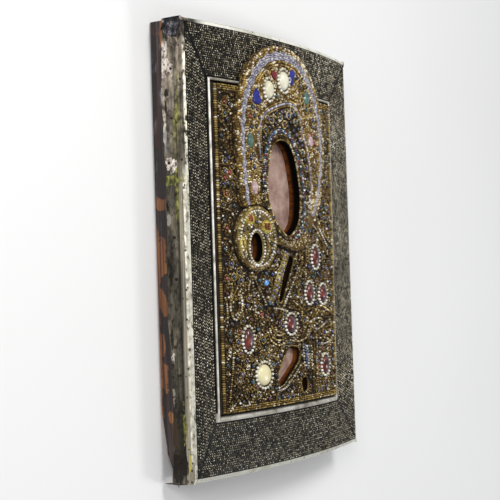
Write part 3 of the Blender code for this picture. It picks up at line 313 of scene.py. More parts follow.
# A dark crease runs beside the rolled edge, and lamp oil has left yellow-green runs beside it.
skin = laid_over(tree, skin, "#24231e", (level, -8.2, -6.6), (level, -4.8, -5.8), (streak, 0.40, 0.52), 0.75)
olive = add(tree, "ShaderNodeValToRGB", {0: speck}, [(0.36, "#4a4a2a"), (0.5, "#83823f"), (0.66, "#bab766")])
oil_at = add(
    tree, "ShaderNodeTexNoise",
    {
        "Vector": add(tree, "ShaderNodeMapping", {"Vector": place, "Scale": (230, 26, 230)}), "Scale": 1.0,
        "Detail": 5,
    },
)
skin = laid_over(
    tree, skin, olive, (level, -8.8, -5.6), (level, -1.0, -2.6), (oil_at, 0.47, 0.58),
    (axes[1], 0.140, 0.115), (axes[1], -0.02, 0.05), 0.85,
)
skin = laid_over(tree, skin, olive, (oil_at, 0.60, 0.66), (axes[1], -0.04, 0.05), (level, -13.0, -9.0), 0.6)
# From the middle down the rolled edge is broad and rubbed: grey-brown, then cream at the very edge.
rubbed = add(
    tree, "ShaderNodeValToRGB", {0: streak}, [(0.34, "#5d574c"), (0.5, "#989080"), (0.66, "#c2baa7")]
)
skin = laid_over(tree, skin, rubbed, (level, -5.6, -5.0), (axes[1], 0.062, 0.040), 0.9)
cream = add(tree, "ShaderNodeValToRGB", {0: speck}, [(0.32, "#77725f"), (0.44, "#d3cdb8"), (0.6, "#fbf6e4")])
skin = laid_over(tree, skin, cream, (level, -0.9, -0.5), (axes[1], 0.146, 0.130), (speck, 0.38, 0.50))
skin = laid_over(tree, skin, cream, (level, -2.5, -1.9), (axes[1], 0.062, 0.040), (axes[1], -0.150, -0.135))
# The front lip: thin and dark at the upper left, pale along the top and low on the right.
lip_shade = add(
    tree, "ShaderNodeValToRGB", {0: speck}, [(0.36, "#2a2822"), (0.5, "#8f8a72"), (0.62, "#ddd7c0")]
)
skin = laid_over(tree, skin, lip_shade, (level, -0.1, 0.12), (streak, 0.42, 0.56), 0.7)
pale_lip = add(
    tree, "ShaderNodeValToRGB", {0: cloud}, [(0.28, "#aeac94"), (0.42, "#dddbc8"), (0.55, "#f6f4e8")]
)
# Torn, pale patches where the sheet has lifted, a stained band under one of them, and dark dents.
torn = add(tree, "ShaderNodeTexNoise", {
    "Vector": add(tree, "ShaderNodeMapping", {"Vector": place, "Scale": (150, 95, 150)}), "Scale": 1.0,
    "Detail": 7, "Roughness": 0.62,
})
torn_skin = add(
    tree, "ShaderNodeValToRGB", {0: speck},
    [(0.36, "#5f574f"), (0.46, "#b5a89b"), (0.56, "#e6dacd"), (0.68, "#fdf6ec")],
)
SILVER_PATCHES = [
    (0.134, -14.0, 0.008, 2.4, 0.85, torn_skin), (0.122, -11.8, 0.006, 5.2, 1.0, torn_skin),
    (0.086, -15.4, 0.016, 1.3, 0.8, torn_skin), (0.070, -15.0, 0.010, 0.8, 0.6, "#97a09f"),
    (0.0465, -9.0, 0.0036, 9.0, 0.75, olive), (0.0505, -11.0, 0.0010, 6.0, 0.8, "#45423d"),
    (0.0575, -10.8, 0.0046, 4.6, 1.0, torn_skin), (0.150, -8.0, 0.010, 9.0, 0.85, "#24211f"),
    (0.106, -13.4, 0.003, 1.6, 0.9, "#1a1715"), (0.096, -14.0, 0.004, 1.2, 0.9, "#221e1b"),
    (0.028, -14.8, 0.004, 1.4, 0.95, "#12100f"), (0.020, -14.2, 0.004, 1.6, 0.8, "#a9a399"),
    (-0.128, -11.0, 0.022, 6.0, 0.75, "#2a241e"), (-0.071, -14.0, 0.0035, 2.0, 0.9, torn_skin),
    (-0.145, -12.0, 0.010, 7.0, 0.8, "#241f1b"), (-0.020, -13.5, 0.006, 1.6, 0.7, "#15130f"),
    (-0.116, -6.0, 0.014, 1.6, 0.7, olive), (-0.141, -2.6, 0.010, 1.0, 0.9, "#c3b458"),
    (-0.098, -14.5, 0.006, 1.6, 0.8, "#a39b8c"),
    (-0.062, -14.5, 0.012, 1.2, 0.8, "#1a1814"), (-0.124, -14.0, 0.010, 1.8, 0.8, "#4b3a28"),
]
for y, at_level, half_y, half_level, strength, patch in SILVER_PATCHES:
    skin = laid_over(
        tree, skin, patch, spot(tree, axes, level, y, at_level, half_y, half_level, torn), strength
    )
# The lips at the top, the right and the bottom are rubbed pale, and those of the first two are dull.
TOP_LIP = (0.1522, 0.1528)
BOTTOM_LIP = (-0.1522, -0.1528)
RIGHT_LIP = (0.1094, 0.1100)
skin = laid_over(
    tree, skin, pale_lip, (axes[1], *TOP_LIP), (level, -1.6, -1.0), (axes[0], -0.102, -0.09), 0.95
)
skin = laid_over(
    tree, skin, pale_lip, (axes[1], *BOTTOM_LIP), (level, -3.0, -2.0), (axes[0], -0.112, -0.108), 0.9
)
skin = laid_over(
    tree, skin, pale_lip, (axes[0], *RIGHT_LIP), (level, -1.6, -1.0), (axes[1], 0.10, 0.02), 0.9
)
pits = add(
    tree, "ShaderNodeTexVoronoi",
    {"Vector": add(tree, "ShaderNodeMapping", {"Vector": place, "Scale": (1, 0.8, 1)}), "Scale": 330.0},
)
chosen = add(tree, "ShaderNodeSeparateXYZ", {0: pits.outputs["Color"]})
skin = laid_over(
    tree, skin, "#14130f", (pits.outputs["Distance"], 0.30, 0.18), (chosen.outputs[0], 0.80, 0.84), 0.9
)
rough = add(tree, "ShaderNodeMapRange", {0: cloud, 1: 0.3, 2: 0.7, 3: 0.5, 4: 0.3})
dents = add(
    tree, "ShaderNodeTexNoise",
    {
        "Vector": add(tree, "ShaderNodeMapping", {"Vector": place, "Scale": (90, 45, 90)}), "Scale": 1.0,
        "Detail": 3,
    },
)
bump = add(tree, "ShaderNodeBump", {"Strength": 0.8, "Distance": 0.0018, "Height": dents})
fine = add(tree, "ShaderNodeBump", {"Strength": 0.4, "Distance": 0.0004, "Height": streak, "Normal": bump})
at_top = add(
    tree, "ShaderNodeMapRange", {0: axes[1], 1: TOP_LIP[0], 2: TOP_LIP[1], 3: 0.8, 4: 0.15}
)
at_right = add(
    tree, "ShaderNodeMapRange", {0: axes[0], 1: RIGHT_LIP[0], 2: RIGHT_LIP[1], 3: 0.8, 4: 0.15}
)
metal = add(tree, "ShaderNodeMath", {0: at_top, 1: at_right}, operation="MINIMUM")
connect(tree, shader, {"Base Color": skin, "Roughness": rough, "Normal": fine, "Metallic": metal})
for name in ("side_silver_left", "side_silver_right", "side_silver_top", "side_silver_bottom"):
    nodes[name].data.materials[0] = silver


# The nails that hold the side silver: hand-cut iron, rusted dark, with small domed heads.
def new_tree(name, inputs):
    """An empty tree of geometry nodes with named inputs, and what those inputs give."""
    tree = bpy.data.node_groups.new(name, "GeometryNodeTree")
    tree.interface.new_socket("Geometry", in_out="INPUT", socket_type="NodeSocketGeometry")
    for label, kind in inputs:
        tree.interface.new_socket(label, in_out="INPUT", socket_type="NodeSocket" + kind)
    tree.interface.new_socket("Geometry", in_out="OUTPUT", socket_type="NodeSocketGeometry")
    return tree, add(tree, "NodeGroupInput").outputs


def end_tree(tree, instances, material):
    """The last nodes of each tree: a shade for each instance, real mesh, shading and the material."""
    shade = add(tree, "FunctionNodeRandomValue", {2: 0.0, 3: 1.0, "Seed": 31}, data_type="FLOAT")
    marked = add(tree, "GeometryNodeStoreNamedAttribute", {
        "Geometry": instances, "Name": "shade", "Value": shade.outputs[1],
    }, data_type="FLOAT", domain="INSTANCE")
    real = add(tree, "GeometryNodeRealizeInstances", {0: marked})
    shaded = add(tree, "GeometryNodeSetShadeSmooth", {"Geometry": real, "Shade Smooth": True})
    done = add(tree, "GeometryNodeSetMaterial", {"Geometry": shaded, "Material": material})
    add(tree, "NodeGroupOutput", {0: done})


def grown(name, source_mesh, tree, slot, replaced=(), **values):
    """A piece: the tree run on a mesh, kept as a plain mesh that rides on the icon."""
    piece = bpy.data.objects.new(name, source_mesh)
    bpy.context.scene.collection.objects.link(piece)
    modifier = piece.modifiers.new("grow", "NODES")
    modifier.node_group = tree
    for item in tree.interface.items_tree:
        key = item.name.replace(" ", "_").lower()
        if item.item_type == "SOCKET" and item.in_out == "INPUT" and key in values:
            modifier[item.identifier] = values[key]
    bpy.context.view_layer.update()
    graph = bpy.context.evaluated_depsgraph_get()
    mesh = bpy.data.meshes.new_from_object(
        piece.evaluated_get(graph), preserve_all_data_layers=True, depsgraph=graph
    )
    piece.modifiers.remove(modifier)
    piece.data = mesh
    mesh.name = name
    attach(piece, "root")
    if replaced:
        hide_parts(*replaced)


MM = 0.001


def front(x):
    """The front face of the silver above the floor at x."""
    return EDGE_DEPTH + WARP_RISE * (1 - (2 * x / ICON_WIDTH) ** 2)


def lines_mesh(name, lines, closed=False):
    """Lines of (x, y, height over the front) points in millimetres, as a mesh of edges in metres."""
    points, edges = [], []
    for line in lines:
        first = len(points)
        points += [(x * MM, y * MM, (front(x) + z) * MM) for x, y, z in line]
        edges += [(first + i, first + i + 1) for i in range(len(line) - 1)]
        if closed:
            edges.append((first + len(line) - 1, first))
    mesh = bpy.data.meshes.new(name)
    mesh.from_pydata(points, edges, [])
    return mesh


SEWN_INPUTS = [
    ("Length", "Float"), ("Width", "Float"), ("Height", "Float"), ("Wander", "Float"), ("Seed", "Int"),
    ("Material", "Material"),
]


def ball_and_scale(tree, given, sides, rings):
    """A ball with few faces, and its length, width and height at each point, which wander a little."""
    ball = add(tree, "GeometryNodeMeshUVSphere", {"Segments": sides, "Rings": rings, "Radius": 0.5})
    least = add(tree, "ShaderNodeMath", {0: 1.0, 1: given["Wander"]}, operation="SUBTRACT")
    most = add(tree, "ShaderNodeMath", {0: 1.0, 1: given["Wander"]}, operation="ADD")
    size = add(tree, "FunctionNodeRandomValue", {2: least, 3: most, "Seed": given["Seed"]}, data_type="FLOAT")
    sizes = add(tree, "ShaderNodeCombineXYZ", {0: given["Length"], 1: given["Width"], 2: given["Height"]})
    return ball, add(tree, "ShaderNodeVectorMath", {0: sizes, 3: size.outputs[1]}, operation="SCALE")


def sewn_tree(name, sides, rings):
    """Stones, nail heads and the like: one at each point, turned at random."""
    tree, given = new_tree(name, SEWN_INPUTS)
    ball, scale = ball_and_scale(tree, given, sides, rings)
    angle = add(
        tree, "FunctionNodeRandomValue", {2: 0.0, 3: 6.2832, "Seed": given["Seed"]}, data_type="FLOAT"
    )
    turn = add(tree, "ShaderNodeCombineXYZ", {2: angle.outputs[1]})
    sown = add(tree, "GeometryNodeInstanceOnPoints", {
        "Points": given["Geometry"], "Instance": ball, "Rotation": turn, "Scale": scale,
    })
    end_tree(tree, sown, given["Material"])
    return tree


ROUND_HEADS = sewn_tree("round_heads", 8, 5)
# Wrought iron, rusted: brown-black and grainy at about 1 mm, with a dull metal gleam.
iron, tree, shader, place = start_material("rusted_iron", Metallic=0.6, Roughness=0.55)
rust = add(tree, "ShaderNodeTexNoise", {"Vector": place, "Scale": 900.0, "Detail": 3})
rusty = add(tree, "ShaderNodeValToRGB", {0: rust}, [(0.35, "#15110e"), (0.6, "#3a2a20"), (0.75, "#6b5a4a")])
connect(tree, shader, {"Base Color": rusty})
NAIL_HEAD = 2.1
NAILS_ALONG_TOP = (-84, -47, -9, 31, 66, 96)
NAILS_DOWN_LEFT_SIDE = [
    (8, -10.2), (-20, -9.6), (-65, -12.0), (-84, -10.4), (37, -8.0), (58, -12.5), (88, -9.5), (121, -8.8),
    (-118, -9.0), (-141, -11.0),
]
nail_points = []
for y, z in NAILS_DOWN_LEFT_SIDE:
    nail_points.append((-ICON_WIDTH / 2, y, z))
    nail_points.append((ICON_WIDTH / 2, y - 9, z + 0.8))
for x in NAILS_ALONG_TOP:
    nail_points.append((x, ICON_HEIGHT / 2, -9.4))
    nail_points.append((x + 7, -ICON_HEIGHT / 2, -8.9))
grown(
    "side_nails", lines_mesh("side_nails", [nail_points]), ROUND_HEADS, "side_silver",
    length=NAIL_HEAD * MM, width=NAIL_HEAD * MM, height=NAIL_HEAD * MM, wander=0.2, seed=3, material=iron,
)


# At the broken corner a sliver of the bottom sheet sticks out to the back, and one nail hangs loose in it.
def made_piece(name, points, faces, material, crease=None, replaced=()):
    """A piece from its points in millimetres and its faces. With a crease angle it is smooth up to there."""
    mesh = bpy.data.meshes.new(name)
    mesh.from_pydata([(x * MM, y * MM, z * MM) for x, y, z in points], [], faces)
    mesh.materials.append(material)
    mesh.validate()
    if crease:
        mesh.shade_smooth()
        mesh.set_sharp_from_angle(angle=math.radians(crease))
    piece = bpy.data.objects.new(name, mesh)
    bpy.context.scene.collection.objects.link(piece)
    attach(piece, "root")
    if replaced:
        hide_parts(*replaced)
    return mesh


SLIVER = [(-112.8, 12.0), (-113.0, 6.5), (-111.6, 2.2), (-108.5, 5.4), (-103.0, 7.4), (-97.5, 11.6)]
SHEET_THICKNESS = 0.35
sliver_y = -ICON_HEIGHT / 2 - 0.3
ends = len(SLIVER)
made_piece(
    "bottom_sheet_sliver",
    [(x, sliver_y - side * SHEET_THICKNESS, z) for side in (0, 1) for x, z in SLIVER],
    [tuple(range(ends)), tuple(reversed(range(ends, 2 * ends)))]
    + [(i, i + ends, (i + 1) % ends + ends, (i + 1) % ends) for i in range(ends)],
    silver,
)
# The loose nail: rings of (radius, drop) from the rim of its head to its point.
NAIL_RINGS = [(1.1, 0.0), (0.9, -0.6), (0.45, -0.9), (0.1, -3.4)]
nail_x, nail_z = -106.4, 9.5
around = 8
ring = [(math.cos(2 * math.pi * i / around), math.sin(2 * math.pi * i / around)) for i in range(around)]
made_piece(
    "loose_nail",
    [(nail_x + r * c, sliver_y - 0.2 + down, nail_z + r * s) for r, down in NAIL_RINGS for c, s in ring],
    [tuple(range(around)), tuple(reversed(range(3 * around, 4 * around)))] + [
        (low + i, low + around + i, low + around + (i + 1) % around, low + (i + 1) % around)
        for low in (0, around, 2 * around) for i in range(around)
    ],
    iron,
)


# The corner tabs: the top sheet's ends, folded down over the long sides and gone black.
# Silver sheet blackened by lamp smoke: near black in the folds, mirror-bright on the creases between.
tab_silver, tree, shader, place = start_material("blackened_silver_fold", Metallic=0.8, Roughness=0.36)
folds = add(tree, "ShaderNodeTexNoise", {"Vector": place, "Scale": 230.0, "Detail": 7, "Roughness": 0.66})
folded = add(tree, "ShaderNodeValToRGB", {0: folds}, [
    (0.38, "#0b0b0c"), (0.48, "#29282b"), (0.56, "#56545a"), (0.64, "#9b979b"), (0.72, "#f0ecee"),
])
bump = add(tree, "ShaderNodeBump", {"Strength": 0.8, "Distance": 0.0015, "Height": folds})
connect(tree, shader, {"Base Color": folded, "Normal": bump})
for name in ("corner_tab_left", "corner_tab_right"):
    nodes[name].data.materials[0] = tab_silver


# The border: four strips of silver leaf embossed in a die with rows of small chevrons, like knitting. The
# ground has gone black and the tops of the chevrons are rubbed pale. They are real relief on the strips.
def own_shade(tree):
    """The shade that each bead, rib or bar was given when it was set, from 0 to 1."""
    return add(tree, "ShaderNodeAttribute", attribute_name="shade").outputs["Fac"]


# Oxidised silver: a sooty black, a little brown in clouds of 8 mm, that still gleams at its edges.
ground_silver, tree, shader, place = start_material("oxidised_silver_ground", Metallic=0.55, Roughness=0.5)
mottle = add(tree, "ShaderNodeTexNoise", {"Vector": place, "Scale": 120.0, "Detail": 6, "Roughness": 0.65})
sooty = add(
    tree, "ShaderNodeValToRGB", {0: mottle}, [(0.35, "#060606"), (0.55, "#131211"), (0.75, "#2b2822")]
)
bump = add(tree, "ShaderNodeBump", {"Strength": 0.5, "Distance": 0.0006, "Height": mottle})
connect(tree, shader, {"Base Color": sooty, "Normal": bump})

# Rubbed silver: each bar is worn in its own degree, from grey-brown to a creamy white glint.
rubbed_silver, tree, shader, place = start_material("rubbed_silver_relief", Metallic=0.75, Roughness=0.36)
patchy = add(tree, "ShaderNodeTexNoise", {"Vector": place, "Scale": 42.0, "Detail": 5, "Roughness": 0.6})
worn = add(tree, "ShaderNodeValToRGB", {0: patchy}, [(0.34, "#77736a"), (0.5, "#bdb6a6"), (0.64, "#ffffff")])
axes = add(tree, "ShaderNodeSeparateXYZ", {0: place}).outputs
worn = laid_over(tree, worn, "#6f6c64", (axes[1], -0.100, -0.122), 0.7)
each = add(
    tree, "ShaderNodeValToRGB", {0: own_shade(tree)},
    [(0.0, "#26241f"), (0.25, "#6f6a5c"), (0.55, "#b9af97"), (0.85, "#f2e8ce"), (1.0, "#fffdf2")],
)
worn = add(tree, "ShaderNodeMix", {0: 0.7, 6: each, 7: worn}, data_type="RGBA", blend_type="MULTIPLY")
connect(tree, shader, {"Base Color": worn})

ROW_PITCH = 3.0
CHEVRON_PITCH = 1.98
BAR_LENGTH = 2.05
BAR_WIDTH = 0.8
BAR_HEIGHT = 0.95
BAR_LEAN = math.radians(52)
EMBOSSING_INPUTS = [
    ("Strip", "Object"), ("Bar Length", "Float"), ("Bar Width", "Float"), ("Bar Height", "Float"),
    ("Lean", "Float"), ("Wander", "Float"), ("Material", "Material"),
]
tree, given = new_tree("embossing", EMBOSSING_INPUTS)
strip = add(
    tree, "GeometryNodeObjectInfo", {"Object": given["Strip"]}, transform_space="RELATIVE"
).outputs["Geometry"]
shape = add(tree, "GeometryNodeMeshUVSphere", {"Segments": 6, "Rings": 3, "Radius": 0.5})
# The points come in as places seen from above. A ray straight down finds the strip under each one, and a
# point beside the strip is taken out.
at = add(tree, "GeometryNodeInputPosition")
hit = add(tree, "GeometryNodeRaycast", {
    "Target Geometry": strip, "Source Position": at, "Ray Direction": (0, 0, -1), "Ray Length": 1.0,
})
off = add(tree, "FunctionNodeBooleanMath", {0: hit.outputs["Is Hit"]}, operation="NOT")
down = add(
    tree, "GeometryNodeSetPosition", {"Geometry": given["Geometry"], "Position": hit.outputs["Hit Position"]}
)
kept = add(tree, "GeometryNodeDeleteGeometry", {"Geometry": down, "Selection": off}, domain="POINT")
side = add(tree, "GeometryNodeInputNamedAttribute", {"Name": "side"}, data_type="FLOAT")
back_way = add(tree, "ShaderNodeMath", {0: given["Wander"], 1: -1.0}, operation="MULTIPLY")
askew = add(tree, "FunctionNodeRandomValue", {2: back_way, 3: given["Wander"], "Seed": 17}, data_type="FLOAT")
angle = add(
    tree, "ShaderNodeMath", {0: side.outputs[0], 1: given["Lean"], 2: askew.outputs[1]},
    operation="MULTIPLY_ADD",
)
turned = add(tree, "ShaderNodeCombineXYZ", {2: angle})
scale = add(
    tree, "ShaderNodeCombineXYZ", {0: given["Bar Length"], 1: given["Bar Width"], 2: given["Bar Height"]}
)
bars = add(tree, "GeometryNodeInstanceOnPoints", {
    "Points": kept, "Instance": shape, "Rotation": turned, "Scale": scale,
})
end_tree(tree, bars, given["Material"])
EMBOSSING = tree


FIELD_LEFT = -88.3
FIELD_BOTTOM = -112.2
FIELD_TOP = 113.4
FOLD_HALF = 1.1
LIP = 3.4
FILLET_WIDTH = 2.8


def field_right(y):
    return 64.7 + 0.015 * y


MITRES = []
for side_x, side_y in ((-1, 1), (1, 1), (1, -1), (-1, -1)):
    inner_y = FIELD_TOP + FILLET_WIDTH if side_y > 0 else FIELD_BOTTOM - FILLET_WIDTH
    inner_x = field_right(inner_y) + FILLET_WIDTH if side_x > 0 else FIELD_LEFT - FILLET_WIDTH
    MITRES.append((inner_x, inner_y, side_x * (ICON_WIDTH / 2 - LIP), side_y * (ICON_HEIGHT / 2 - LIP)))


def on_mitre(x, y):
    """Whether a place, in metres, lies in one of the dark folds where two strips meet."""
    x, y = x / MM, y / MM
    for ax, ay, bx, by in MITRES:
        beside = abs((x - ax) * (by - ay) - (y - ay) * (bx - ax)) / math.dist((ax, ay), (bx, by))
        if beside < FOLD_HALF and min(ax, bx) <= x <= max(ax, bx):
            return True
    return False


BAR_OFF = 0.24
RAY_START = 0.2


def embossed(name, tall, wander):
    """The bars on one strip: two to each mark, leaning opposite ways, in rows along a tall or wide strip."""
    low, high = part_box(name)
    points, sides = [], []
    first, last = (low.x, high.x) if tall else (low.y, high.y)
    begin, end = (low.y, high.y) if tall else (low.x, high.x)
    rows = round((last - first) / (ROW_PITCH * MM))
    for i in range(rows):
        middle = first + (last - first) * (i + 0.5) / rows
        count = round((end - begin) / (CHEVRON_PITCH * MM))
        for j in range(count):
            along = begin + (end - begin) * (j + 0.5 + 0.5 * (i % 2)) / count
            for way in (-1, 1):
                across = middle + way * ROW_PITCH * MM * BAR_OFF
                spot_at = (across, along) if tall else (along, across)
                if not on_mitre(*spot_at):
                    points.append((*spot_at, RAY_START))
                    sides.append(float(way) if tall else float(-way))
    mesh = bpy.data.meshes.new(name + "_marks")
    mesh.from_pydata(points, [], [])
    mesh.attributes.new("side", "FLOAT", "POINT").data.foreach_set("value", sides)
    nodes[name].data.materials[0] = ground_silver
    grown(
        name + "_embossing", mesh, EMBOSSING, "dark_silver", strip=nodes[name], bar_length=BAR_LENGTH * MM,
        bar_width=BAR_WIDTH * MM, bar_height=BAR_HEIGHT * MM,
        lean=BAR_LEAN if tall else math.pi / 2 - BAR_LEAN, wander=wander, material=rubbed_silver,
    )


embossed("border_left", True, 0.12)
embossed("border_right", True, 0.6)
embossed("border_top", False, 0.9)
embossed("border_bottom", False, 0.35)


# The fillets: half-round silver beading between the border and the cover, kept bright by handling.
# Silver half-round wire, polished by touch: cream-white with soft highlights, grey where it is pitted.
bright, tree, shader, place = start_material("bright_silver_beading", Metallic=0.6, Roughness=0.34)
level, axes = height_over_front(tree, place)
worn = add(tree, "ShaderNodeTexNoise", {"Vector": place, "Scale": 90.0, "Detail": 6, "Roughness": 0.6})
rubbed = add(tree, "ShaderNodeValToRGB", {0: worn}, [(0.30, "#7d796d"), (0.42, "#c9c3b4"), (0.6, "#f4f0e6")])
# Painted shade: below its crest the beading is darkened, except the inner flank along the bottom, which stays
# pale.
rubbed = laid_over(
    tree, laid_over(tree, "#23211c", rubbed, (level, 0.9, 1.6)), rubbed, (axes[1], -0.110, -0.1125),
    (level, -2.4, -1.0),
)
bump = add(tree, "ShaderNodeBump", {"Strength": 0.6, "Distance": 0.0009, "Height": worn})
connect(tree, shader, {"Base Color": rubbed, "Normal": bump})
for name in ("fillet_left", "fillet_right", "fillet_top", "fillet_bottom"):
    nodes[name].data.materials[0] = bright


# The cover's ground: brown silk over stuffed linen board, with five windows cut through to the board. It is
# cut to the field, and its edges are bound with the same silk.
ARK_FLOOR = -2.5
COVER_LEVEL = 2.2
HALO_LEVEL = 6.0
CHILD_LEVEL = 5.6


CURVE_STEPS = 12


def curve(keys, step, closed=True):
    """Evenly spaced points on a smooth curve through the key points."""
    count = len(keys)
    fine = []
    for i in range(count if closed else count - 1):
        if closed:
            p0, p1, p2, p3 = (keys[(i + k - 1) % count] for k in range(4))
        else:
            p0, p1, p2, p3 = (keys[min(max(i + k - 1, 0), count - 1)] for k in range(4))
        for j in range(CURVE_STEPS):
            t = j / CURVE_STEPS
            fine.append(tuple(
                0.5 * (
                    2 * b + (c - a) * t + (2 * a - 5 * b + 4 * c - d) * t * t
                    + (3 * b - a - 3 * c + d) * t ** 3
                )
                for a, b, c, d in zip(p0, p1, p2, p3)
            ))
    fine.append(tuple(keys[0]) if closed else tuple(keys[-1]))
    return resampled(fine, step, closed)


def resampled(line, step, closed=False):
    """The same line with evenly spaced points; a closed one leaves out its last, repeated point."""
    lengths = [math.dist(a, b) for a, b in zip(line, line[1:])]
    total = sum(lengths)
    count = max(3 if closed else 1, round(total / step))
    points = []
    at, passed = 0, 0.0
    for i in range(count if closed else count + 1):
        want = total * i / count
        while at < len(lengths) - 1 and passed + lengths[at] < want:
            passed += lengths[at]
            at += 1
        share = min(1.0, (want - passed) / (lengths[at] or 1e-9))
        points.append(tuple(a + (b - a) * share for a, b in zip(line[at], line[at + 1])))
    return points


def oval(x, y, half_width, half_height, step):
    """A closed oval of points about a step apart."""
    count = max(8, round(math.pi * (half_width + half_height) / step))
    turn = 2 * math.pi / count
    return [(x + half_width * math.cos(turn * i), y + half_height * math.sin(turn * i)) for i in range(count)]


def offset(line, by, closed=False):
    """The line moved sideways, to its left for a positive distance."""
    moved = []
    count = len(line)
    for i, (x, y) in enumerate(line):
        before = line[(i - 1) % count] if closed or i else line[0]
        after = line[(i + 1) % count] if closed or i < count - 1 else line[-1]
        dx, dy = after[0] - before[0], after[1] - before[1]
        length = math.hypot(dx, dy) or 1e-9
        moved.append((x - dy / length * by, y + dx / length * by))
    return moved


def turned_loop(loop, anticlockwise):
    """The loop's points in the order that goes round it the given way."""
    area = sum(a[0] * b[1] - b[0] * a[1] for a, b in zip(loop, loop[1:] + loop[:1]))
    return list(loop) if (area > 0) == anticlockwise else list(reversed(loop))


def inside(xs, ys, loop):
    """For arrays of places: which lie inside the loop."""
    found = np.zeros(np.shape(xs), bool)
    for (x0, y0), (x1, y1) in zip(loop, loop[1:] + loop[:1]):
        if y0 == y1:
            continue
        crosses = (y0 > ys) != (y1 > ys)
        found ^= crosses & (xs < (x1 - x0) * (ys - y0) / (y1 - y0) + x0)
    return found


def distance(xs, ys, loop, closed=True):
    """For arrays of places: how far each is from the line."""
    best = np.full(np.shape(xs), 1e9)
    for (x0, y0), (x1, y1) in zip(loop, loop[1:] + loop[:1]) if closed else zip(loop, loop[1:]):
        dx, dy = x1 - x0, y1 - y0
        share = np.clip(((xs - x0) * dx + (ys - y0) * dy) / (dx * dx + dy * dy + 1e-12), 0, 1)
        best = np.minimum(best, np.hypot(xs - x0 - share * dx, ys - y0 - share * dy))
    return best


FACE_WINDOW = curve([
    (-24.2, 76.9), (-31.5, 70.5), (-35.3, 60), (-37.2, 50), (-37.4, 40), (-34.8, 29.9), (-29.1, 19.9),
    (-20.7, 12.9), (-15, 9.6), (-8.4, 11.3), (0.2, 19.7), (3.1, 32.6), (3.2, 42.6), (0.4, 57.6), (-3.3, 67.7),
    (-8, 74.7), (-15.6, 77.8),
], 2.0)
CHILD_WINDOW_CENTRE = (-51.6, 0.8)
CHILD_WINDOW_HALF = (6.6, 10.4)
CHILD_WINDOW = oval(*CHILD_WINDOW_CENTRE, *CHILD_WINDOW_HALF, 1.6)


def cut_out(corners, rounding):
    """A straight-sided opening with its corners eased."""
    line = []
    for i, here in enumerate(corners):
        for other in (corners[i - 1], corners[(i + 1) % len(corners)]):
            share = min(0.45, rounding / math.dist(here, other))
            line.append(tuple(a + (b - a) * share for a, b in zip(here, other)))
    return resampled(line + line[:1], 2.0, True)


SLIT_WINDOW = cut_out([(-10.5, -3.4), (-1.8, -6.9), (-19.3, -37.7), (-24.1, -38.6)], 1.5)
HAND_WINDOW = cut_out([
    (-11.8, -70.4), (1.7, -72.5), (0.7, -81.4), (-21.5, -97.9), (-26.2, -97.9), (-27.2, -89), (-17.6, -77.3),
], 2.0)
SMALL_WINDOW = cut_out([(3.2, -95.5), (11.5, -94), (12.6, -103), (5.2, -106)], 2.0)
HALO_ARC = curve([
    (-64.3, 30), (-66.3, 45), (-67.6, 65), (-68.1, 86), (-64.8, 106), (-55.6, 124), (-42.4, 137),
    (-27.5, 143.6), (-12.2, 145.4), (3.5, 143), (17.6, 135.5), (29.6, 123.5), (38, 108), (42.8, 90),
    (42.6, 72), (39.5, 52), (33, 34), (25, 22),
], 1.5, closed=False)
HALO_FOOT = curve([(25, 22), (17, 10), (9, 1.5), (-3, -1.2), (-16, 1.5), (-26.2, 4)], 2.0, closed=False)
CHILD_CENTRE = (-49.7, 7.2)
CHILD_HALF = (22.2, 22.6)
CHILD_EDGE = oval(*CHILD_CENTRE, *CHILD_HALF, 1.5)


def sewn_plate(name, loops, top, under, step, material, replaced):
    """A stuffed plate with openings: its top swells a little, and its edges are straight walls."""
    loops = [turned_loop(loop, i == 0) for i, loop in enumerate(loops)]
    rim = [p for loop in loops for p in loop]
    xs, ys = zip(*loops[0])
    grid_x, grid_y = np.meshgrid(np.arange(min(xs), max(xs), step), np.arange(min(ys), max(ys), step))
    grid_x, grid_y = grid_x.ravel(), grid_y.ravel()
    keep = inside(grid_x, grid_y, loops[0])
    for hole in loops[1:]:
        keep &= ~inside(grid_x, grid_y, hole)
    near = np.full(grid_x.shape, 1e9)
    for loop in loops:
        near = np.minimum(near, distance(grid_x, grid_y, loop))
    keep &= near > 0.6 * step
    inner = list(zip(grid_x[keep].tolist(), grid_y[keep].tolist()))
    edges, first = [], 0
    for loop in loops:
        edges += [(first + i, first + (i + 1) % len(loop)) for i in range(len(loop))]
        first += len(loop)
    made = delaunay_2d_cdt([Vector(p) for p in rim + inner], edges, [], 0, 1e-6)
    source = [min(ids) for ids in made[3]]
    both = np.array(rim + inner)
    faces = [[source[i] for i in face] for face in made[2]]
    middles = np.array([both[face].mean(axis=0) for face in faces])
    good = inside(middles[:, 0], middles[:, 1], loops[0])
    for hole in loops[1:]:
        good &= ~inside(middles[:, 0], middles[:, 1], hole)
    points = [(x, y, top(x, y)) for x, y in rim + inner] + [(x, y, under(x, y)) for x, y in rim + inner]
    start = len(rim + inner)
    shown = []
    for face, kept in zip(faces, good):
        if not kept:
            continue
        (ax, ay), (bx, by), (cx, cy) = both[face]
        if (bx - ax) * (cy - ay) - (by - ay) * (cx - ax) < 0:
            face = face[::-1]
        shown.append(face)
        shown.append([i + start for i in reversed(face)])
    for a, b in edges:
        shown += [(a + start, b + start, b), (a + start, b, a)]
    made_piece(name, [(x, y, front(x) + z) for x, y, z in points], shown, material, 55, replaced)


